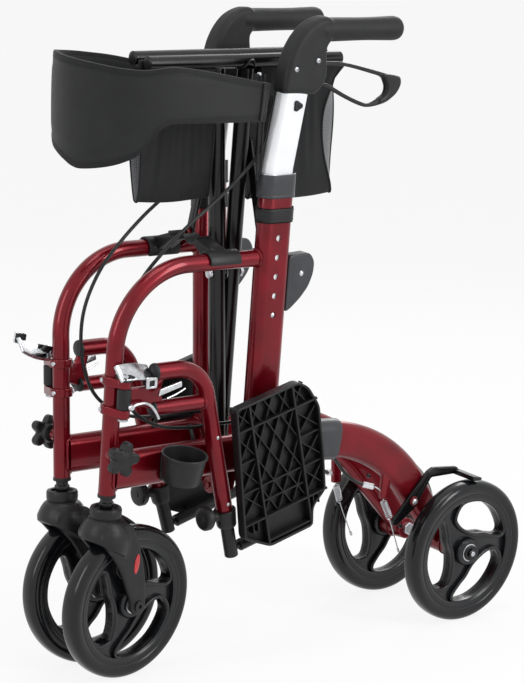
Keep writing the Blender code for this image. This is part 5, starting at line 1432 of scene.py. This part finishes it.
def build_cables():
    for side in SIDES:
        handle = f"handle_{side}"
        cable = wire(curved(CABLE_ROUTE, steps=10), CABLE_R, sides=16)
        made = settle(f"brake_cable_{side}", cable, side, None, "sheath")
        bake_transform(made)
        ferrule = joined(rod((-17, 236.2, 744), (-17.6, 234.6, 731), 3.3, 0.5, 3.0),
            rod((-17, 236.8, 749), (-17, 236.2, 743), 2.2, 0.3))
        settle(f"cable_ferrule_{side}", ferrule, side, handle, "nylon")
        ties = [plate(circle(CABLE_R + 1.3, (-18, w)), y - 2.5, y + 2.5, "y", 0.6,
            [circle(CABLE_R + 0.1, (-18, w))]) for y, w in ((140, 319), (262, 314))]
        bases = [plate(rounded([(-17, w - 3), (-17, w + 3), (-8, RAIL_W + 24), (-8, RAIL_W + 16)], 1),
            y - 2.2, y + 2.2, "y", 0.5) for y, w in ((140, 317), (262, 312))]
        settle(f"cable_ties_{side}", joined(*ties, *bases), side, f"{side}_frame", "nylon")


# Folding cross, seat rails and links

def rest_angle():
    return asin(CROSS_PIVOT_X / CROSS_HALF)


def cross_top():
    return CROSS_PIVOT_W + 2 * CROSS_HALF * cos(rest_angle())


def link_reach():
    """How far above the centre pivot a link meets its tube."""
    shut = rest_angle()
    wide = acos((SEAT_OPEN_W - CROSS_PIVOT_W) / (2 * CROSS_HALF))
    rise = LINK_PIN[1] - CROSS_PIVOT_W
    out = LINK_PIN[0] - CROSS_PIVOT_X
    sines = sin(shut) - sin(wide)
    cosines = cos(shut) - cos(wide)
    doubles = cos(2 * shut) - cos(2 * wide)
    share = CROSS_HALF * doubles - out * sines - rise * cosines
    return CROSS_HALF * (rise * cosines - out * sines) / share


def build_cross():
    lean = rest_angle()
    middle_z = CROSS_PIVOT_W + CROSS_HALF * cos(lean)
    for side, foot_sign, body in (("right", 1, "cross_a"), ("left", -1, "cross_b")):
        y = CROSS_Y[side]
        along = Vector((-foot_sign * sin(lean), 0, cos(lean)))
        middle = Vector((0, y, middle_z))
        tube = wire([tuple(middle - along * (CROSS_HALF + 10)),
            tuple(middle + along * (CROSS_HALF - SEAT_RAIL_R))], CROSS_R, sides=40)
        head = middle + along * CROSS_HALF
        bead = wire([(head.x + (CROSS_R + 0.5) * cos(a), y + (CROSS_R + 0.5) * sin(a),
            head.z - sqrt(max(0.0, SEAT_RAIL_R ** 2 - ((CROSS_R + 0.5) * cos(a)) ** 2)) - 0.6)
            for a in [tau * i / 32 for i in range(32)]], 1.5, True, 8)
        foot = middle - along * (CROSS_HALF + 10)
        plug = lathe([(0, 0), (CROSS_R - 2, 0), (CROSS_R + 0.2, -1.6), (CROSS_R + 0.2, -3.4), (0, -3.4)],
            tuple(foot), tuple(-along))
        settle(f"cross_tube_{side}", joined(tube, bead, plug), "centre", body, "black")
    for sign, side, body in ((1, "left", "cross_b"), (-1, "right", "cross_a")):
        x = sign * CROSS_PIVOT_X
        start, end = SEAT_RAIL_Y
        z = cross_top() - sign * (SEAT_RAIL_R - RAIL_SEEN_R)
        rail = wire([(x, start + 2, z), (x, end - 2, z)], RAIL_SEEN_R, sides=40)
        settle(f"seat_rail_{side}", rail, "centre", body, "black")
        caps = [lathe([(0, 2.0), (5, 1.9), (RAIL_SEEN_R - 2.4, 1.4), (RAIL_SEEN_R - 0.2, 0),
            (RAIL_SEEN_R - 0.1, -2.6), (0, -2.6)], (x, y, z), (0, turn, 0))
            for y, turn in ((start + 2, -1), (end - 2, 1))]
        settle(f"seat_rail_caps_{side}", joined(*caps), "centre", body, "nylon")
    front = CROSS_Y["right"] - CROSS_R
    rear = CROSS_Y["left"] + CROSS_R
    bolt = rod((0, front - 4, middle_z), (0, rear + 6, middle_z), PIVOT_BOLT_R)
    head = lathe([(0, 4.4), (3, 4.2), (6, 2.8), (7, 0.4), (7, 0), (0, 0)], (0, front - 0.4, middle_z),
        (0, -1, 0))
    nut = hex_nut((0, rear + 0.4, middle_z), (0, 1, 0), 13, 5.4)
    washer = rod((0, CROSS_Y["right"] + CROSS_R + 0.3, middle_z),
        (0, CROSS_Y["left"] - CROSS_R - 0.3, middle_z), 9, 0.3)
    settle("centre_pivot", joined(bolt, head, nut, washer), "centre", "cross_a", "zinc")


def build_links():
    lean = rest_angle()
    high = (sin(lean) * link_reach(), CROSS_PIVOT_W + cos(lean) * (CROSS_HALF + link_reach()))
    along = Vector(high) - Vector(LINK_PIN)
    angle = degrees(atan2(along.y, along.x))
    outline = arc(high, LINK_WIDE / 2, angle - 90, angle + 90)
    outline += arc(LINK_PIN, LINK_WIDE / 2, angle + 90, angle + 270)
    groove = arc(high, 2.2, angle - 90, angle + 90, 15) + arc(LINK_PIN, 2.2, angle + 90, angle + 270, 15)
    for side, home in (("left", "centre"), ("right", "centre_right")):
        start, end = link_plane(side)
        bar_piece = plate(outline, start, end, "y", 0.9, [circle(3.8, LINK_PIN, 24)], 3)
        face = end if side == "left" else start
        outwards = 1 if side == "left" else -1
        spine = plate(groove, *sorted((face - outwards * 0.4, face + outwards * 0.5)), "y", 0.4)
        rivet = lathe([(0, 2.4), (3, 2.0), (5.4, 0.6), (5.5, -0.8), (0, -0.8)], (high[0], face, high[1]),
            (0, outwards, 0), 32)
        settle(f"fold_link_{side}", joined(bar_piece, spine, rivet), home, f"link_{side}", "black")


# Cup

def build_cup():
    """Tapered cup with a rolled rim, a flat floor and a bracket on the rail."""
    wall = CUP_WALL
    profile = [(0, 0), (CUP_BASE_R - 3, 0), (CUP_BASE_R - 1, 0.6), (CUP_BASE_R, 2.6),
        (CUP_RIM_R - 2.0, CUP_DEEP - 5), (CUP_RIM_R - 0.8, CUP_DEEP - 4.4), (CUP_RIM_R, CUP_DEEP - 3),
        (CUP_RIM_R, CUP_DEEP - 1), (CUP_RIM_R - 0.8, CUP_DEEP), (CUP_RIM_R - 2, CUP_DEEP),
        (CUP_RIM_R - wall - 0.4, CUP_DEEP - 1), (CUP_BASE_R - wall, wall + 2), (CUP_BASE_R - wall - 3, wall),
        (0, wall)]
    cup = lathe(profile, (0, 0, 0), (0, 0, 1), 72)
    u, y, w = CUP_AT
    cup.data.transform(Matrix.Translation(CUP_AT) @ Matrix.Rotation(radians(7), 4, "Y"))
    face = RAIL[1] / 2 + 0.3
    outline = rounded([(y - 11, w - 6), (y + 11, w - 6), (y + 11, w + 34), (y - 11, w + 34)], 4)
    base = plate(outline, face, face + 3.4, ease=1.2)
    arms = [plate(rounded([(face + 1, w + k), (face + 1, w + k + 12), (u - CUP_BASE_R + 0.6, w + k + 9),
        (u - CUP_BASE_R + 0.6, w + k + 2)], 1), y + s * 8 - 1.6, y + s * 8 + 1.6, "y", 0.6) for s in (-1, 1)
        for k in (-4, 18)]
    tongue = plate(rounded([(y - 8, w - 3), (y + 8, w - 3), (y + 8, w + 31), (y - 8, w + 31)], 3),
        face + 2.6, u - CUP_BASE_R + 0.4, ease=0.8)
    settle("cup_holder", joined(cup, base, tongue, *arms), "left", "left_frame", "nylon")
    screws = [socket_screw((face + 3.2, y + s * 9.0, w + 28), 1.8) for s in (-1, 1)]
    settle("cup_screws", joined(*screws), "left", "left_frame", "zinc")


# Strap and seat cloth

def grid(rows):
    """A sheet through rows of points, with a map that counts millimetres along and across it."""
    across = len(rows[0])
    bpy.ops.object.select_all(action="DESELECT")
    bpy.ops.mesh.primitive_grid_add(x_subdivisions=across - 1, y_subdivisions=len(rows) - 1, size=1)
    piece = bpy.context.object
    points = [Vector(p) for row in rows for p in row]
    for vertex, point in zip(piece.data.vertices, points):
        vertex.co = point
    along = [0.0]
    for a, b in zip(rows, rows[1:]):
        along.append(along[-1] + (Vector(b[0]) - Vector(a[0])).length)
    over = [0.0]
    middle = rows[len(rows) // 2]
    for a, b in zip(middle, middle[1:]):
        over.append(over[-1] + (Vector(b) - Vector(a)).length)
    layer = piece.data.uv_layers[0]
    for loop in piece.data.loops:
        row, column = divmod(loop.vertex_index, across)
        layer.data[loop.index].uv = (over[column], along[row])
    return piece


STRAP_TOP = {1: [(0, 762), (0.1, 768.5), (0.3, 782.6), (0.45, 790.7), (0.5, 791), (0.6, 787.5), (0.7, 788.8),
    (0.85, 794.3), (1.0, 798.8)], -1: [(0, 762), (0.35, 788), (0.5, 794.5), (0.7, 799.3), (0.85, 802),
    (1.0, 798.8)]}
STRAP_BOTTOM = {1: [(0, 718.3), (0.2, 721), (0.4, 723.1), (0.46, 723.3), (0.5, 721.4), (0.55, 712),
    (0.6, 693), (0.65, 682), (0.75, 671.6), (0.9, 665.4), (0.95, 667.5), (1.0, 673)],
    -1: [(0, 718.3), (0.45, 722), (0.55, 715), (0.7, 700), (0.8, 690), (0.92, 681), (1.0, 673)]}


def strap_plan(t):
    """Plan place of the strap's middle: straight back to the handles, half an oval in front."""
    share = t / STRAP_STRAIGHT
    if share < 1:
        bulge = sin(share * pi / 2)
        x = STRAP_END_X + (STRAP_HALF_X - STRAP_END_X) * bulge
        return x, STRAP_END_Y - (STRAP_END_Y - STRAP_LOOP_Y) * share
    angle = (t - STRAP_STRAIGHT) / (1 - STRAP_STRAIGHT) * pi / 2
    return STRAP_HALF_X * cos(angle), STRAP_LOOP_Y - STRAP_LOOP_DEEP * sin(angle)


def strap_stations():
    """Middle, outward direction, t, rake, bottom and top at stations from the left end to the right."""
    shares = [STRAP_FROM + (1 - STRAP_FROM) * i / STRAP_STEPS for i in range(STRAP_STEPS + 1)]
    halves = [(1, t) for t in shares] + [(-1, t) for t in shares[-2::-1]]
    middle = []
    for sign, t in halves:
        x, y = strap_plan(t)
        middle.append(Vector((sign * x, y, 0)))
    stations = []
    for i, (sign, t) in enumerate(halves):
        along = (middle[min(len(middle) - 1, i + 1)] - middle[max(0, i - 1)]).normalized()
        out = Vector((-along.y, along.x, 0))
        if out.dot(Vector((middle[i].x, middle[i].y - STRAP_LOOP_Y, 0))) < 0:
            out = -out
        rake = tan(radians(HANDLE_LEAN)) * max(0.0, 1 - t / 0.25)
        stations.append((middle[i], out, t, rake, level_at(STRAP_BOTTOM[sign], t),
            level_at(STRAP_TOP[sign], t)))
    return stations


def strap_point(station, level, out_mm):
    """A point on the strap at a share of its height and a distance out of its middle."""
    middle, out, t, rake, low, high = station
    z = low + (high - low) * level
    ripple = noise.noise(Vector((middle.x * 0.015, middle.y * 0.015, level * 1.6))) * 1.3 * min(1.0, t * 4)
    return middle + out * (out_mm + ripple) + Vector((0, rake * (z - low), z))


def strap_half(t):
    return STRAP_THICK / 2 * (0.55 + 0.45 * min(1.0, t / 0.4))


def skin(rows):
    """A closed skin over rings of points, its two ends filled."""
    piece = cleaned(grid(rows))
    return edited(piece, ("fill_holes", {"sides": 0}), OUTWARDS)


def build_strap():
    """Padded strap: a crowned pad between two bound edges, each sewn with a row of stitches."""
    stations = strap_stations()
    levels = [i / 22 for i in range(23)]
    rows = []
    for station in stations:
        half = strap_half(station[2])
        crowns = [half * min(1.0, sin(pi * level) ** 0.35 + 0.25) for level in levels]
        ring = []
        for level, crown in zip(levels, crowns):
            seam = 1 - 0.35 * exp(-((min(level, 1 - level) - 0.12) / 0.025) ** 2)
            ring.append(strap_point(station, level, crown * seam))
        for level, crown in zip(reversed(levels), reversed(crowns)):
            ring.append(strap_point(station, level, -crown))
        rows.append(ring + [ring[0]])
    pad = shaped(skin(rows), "SUBSURF", levels=1, render_levels=1)
    strap_piece("backrest_strap", pad, "strap")

    for name, edge, inner in (("top", 1.0, -1), ("bottom", 0.0, 1)):
        rows = []
        for station in stations:
            half = strap_half(station[2]) * 0.5 + 0.9
            tall = station[5] - station[4]
            ring = []
            for out, depth in ((0.0, -1.4), (0.8, -0.9), (1.0, 1.5), (1.05, 7.0), (0.9, 8.6), (0.55, 8.8),
                    (0.0, 8.9), (-0.55, 8.8), (-0.9, 8.6), (-1.05, 7.0), (-1.0, 1.5), (-0.8, -0.9)):
                ring.append(strap_point(station, edge + inner * depth / tall, half * out))
            rows.append(ring + [ring[0]])
        strap_piece(f"strap_binding_{name}", skin(rows), "tape")

        stitches = []
        for i in range(1, len(stations) - 1):
            tall = stations[i][5] - stations[i][4]
            half = strap_half(stations[i][2]) * 0.5 + 1.1
            level = edge + inner * 6.6 / tall
            a = strap_point(stations[i], level, half)
            b = strap_point(stations[i + 1], level, half)
            count = max(1, round((b - a).length / 3.4))
            for k in range(count):
                near = a.lerp(b, (k + 0.2) / count)
                far = a.lerp(b, (k + 0.8) / count)
                stitches.append([near, far])
        seam = meshed(drawn(stitches, False, "3D", bevel_depth=0.32, bevel_resolution=0, use_fill_caps=True))
        strap_piece(f"strap_stitches_{name}", seam, "thread")

    for side, sign in (("left", 1), ("right", -1)):
        station = stations[3] if sign > 0 else stations[-4]
        strip = [wire([tuple(strap_point(station, level, 3.2)) for level in (0.02, 0.5, 0.98)], 2.4,
            sides=12)]
        x = sign * STRAP_ROD_X
        for y, low in STRAP_RODS:
            strip.append(wire([(x, y, low), (x, y, STRAP_ROD_TOP)], 1.5, sides=10))
        (y, low), (back, high) = STRAP_BUCKLE
        strip.append(plate(rounded([(y, low), (back, low), (back, high), (y, high)], 2), x - 3.5, x + 3.5,
            ease=1.2))
        settle(f"strap_mount_{side}", joined(*strip), "centre", f"{side}_frame", "nylon")
        pin = rod((x - 2, y - 2, STRAP_ROD_TOP + 1.5), (x + 3.4, y - 2, STRAP_ROD_TOP + 1.5), 2.2, 0.8,
            steps=20)
        settle(f"strap_pin_{side}", pin, "centre", f"{side}_frame", "chrome")


def strap_piece(name, piece, finish):
    """A piece of the strap, tied to no body, its place baked into its mesh."""
    settle(name, piece, "centre", None, finish, angle=60)
    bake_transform(piece)


def seat_fold(piece):
    """Bakes a seat piece's place into its mesh."""
    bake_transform(piece)


def lobe_rows(start, end, front_lean, rear_lean, bottom, sooner, columns=44, rows=30):
    """Points of one hanging fold: down the left side, round the bottom and up the right."""
    path = [(1, j / rows) for j in range(rows + 1)] + [(-1, j / rows) for j in range(rows - 1, -1, -1)]
    lines = []
    for sign, t in path:
        drop = sin(t * pi / 2)
        if drop < 0.85:
            full = 15.6 - 6.1 * (drop / 0.85) ** 1.8
        else:
            full = 9.5 * sqrt(max(0.0, 1 - ((drop - 0.85) / 0.15) ** 2))
        swell = sin(pi * min(1.0, drop) ** 0.8)
        back = end + (-sooner * swell if sign > 0 else 0.3 * sooner * swell)
        line = []
        for i in range(columns + 1):
            s = i / columns
            y = start + (back - start) * s + front_lean * drop * (1 - s) + rear_lean * drop * s
            wave = noise.noise(Vector((y * 0.03, sign * 3.0, drop * 1.7))) * 1.8 * sin(pi * drop)
            sag = 3 * sin(pi * s) * t
            line.append((sign * (full + wave), y, LOBE_TOP - (LOBE_TOP - bottom) * drop - sag))
        lines.append(line)
    return lines


# A light nylon that gives a little, held where it is sewn on and pushed out by a faint pressure
CLOTH = {"quality": 6, "mass": 0.15, "tension_stiffness": 18, "compression_stiffness": 18,
    "shear_stiffness": 6, "bending_stiffness": 0.35, "shrink_min": -0.035, "vertex_group_mass": "sewn",
    "use_pressure": True, "uniform_pressure_force": 0.6}


def hung(piece, pinned):
    """Lets a sheet hang under its own weight from the rows that are sewn on."""
    group = piece.vertex_groups.new(name="sewn")
    group.add(pinned, 1.0, "REPLACE")
    cloth = piece.modifiers.new("cloth", "CLOTH")
    for key, value in CLOTH.items():
        setattr(cloth.settings, key, value)
    cloth.settings.effector_weights.gravity = 0.5
    cloth.collision_settings.use_collision = False
    scene = bpy.context.scene
    for step in range(1, HANG_FRAMES + 1):
        scene.frame_set(step)
    alone(piece)
    bpy.ops.object.modifier_apply(modifier=cloth.name)
    scene.frame_set(1)
    return piece


def build_seat():
    """Two hanging folds of woven cloth, each closed at its ends by a mesh gusset with bound edges."""
    for name, shape in LOBES.items():
        rows = lobe_rows(*shape)
        across = len(rows[0])
        sheet = grid(rows)
        rest = [Vector(v.co) for v in sheet.data.vertices]
        matrix, _ = HOME["centre"]
        sheet.data.transform(matrix)
        count = len(sheet.data.vertices)
        hung(sheet, list(range(2 * across)) + list(range(count - 2 * across, count)))
        sheet.data.transform(matrix.inverted())
        for vertex, old in zip(sheet.data.vertices, rest):
            move = vertex.co - old
            if move.length > 6:
                vertex.co = old + move.normalized() * 6
            vertex.co.x = max(-17.0, min(17.0, vertex.co.x))
        points = [Vector(v.co) for v in sheet.data.vertices]
        lines = [points[i * across:(i + 1) * across] for i in range(len(rows))]
        shaped(sheet, "SOLIDIFY", thickness=1.1, offset=0)
        made = settle(f"seat_cloth_{name}", sheet, "centre", None, "pouch",
            node="seat_cloth" if name == "front" else "", angle=60)
        seat_fold(made)

        half = len(lines) // 2
        for end_name, column, lean in (("front", 0, -1), ("rear", across - 1, 1)):
            gusset = []
            for j in range(1, half + 1):
                a = lines[j][column]
                b = lines[len(lines) - 1 - j][column]
                bulge = Vector((0, 2.2 * sin(pi * j / half) * lean, 0))
                gusset.append([a.lerp(b, k / 8) + bulge * sin(pi * k / 8) for k in range(9)])
            panel = grid(gusset)
            shaped(panel, "SOLIDIFY", thickness=0.9, offset=0)
            made = settle(f"seat_gusset_{name}_{end_name}", panel, "centre", None, "mesh", angle=60)
            seat_fold(made)
            edge = [tuple(line[column]) for line in lines]
            made = settle(f"seat_binding_{name}_{end_name}", wire(edge, 1.9, sides=10), "centre", None,
                "tape", angle=60)
            seat_fold(made)

    front, rear = SEAT_RAIL_Y[0] + 1, SEAT_RAIL_Y[1] - 2
    strip = plate(rounded([(front, LOBE_TOP), (rear, LOBE_TOP), (rear, LOBE_TOP + 12),
        (front, LOBE_TOP + 12)], 2), -4.1, 4.1, ease=1.2)
    made = settle("seat_cloth_head", strip, "centre", None, "tape")
    seat_fold(made)


build_camera()
build_lamps()
build_floor()
for side in SIDES:
    build_side_frame(side)
build_frame_fittings()
build_saddle()
build_hinge()
build_handle()
build_wheels()
build_casters()
build_hanger()
build_extension()
build_footplate()
build_latch()
build_star_knob()
build_brake()
build_cables()
build_cross()
build_links()
build_cup()
build_strap()
build_seat()
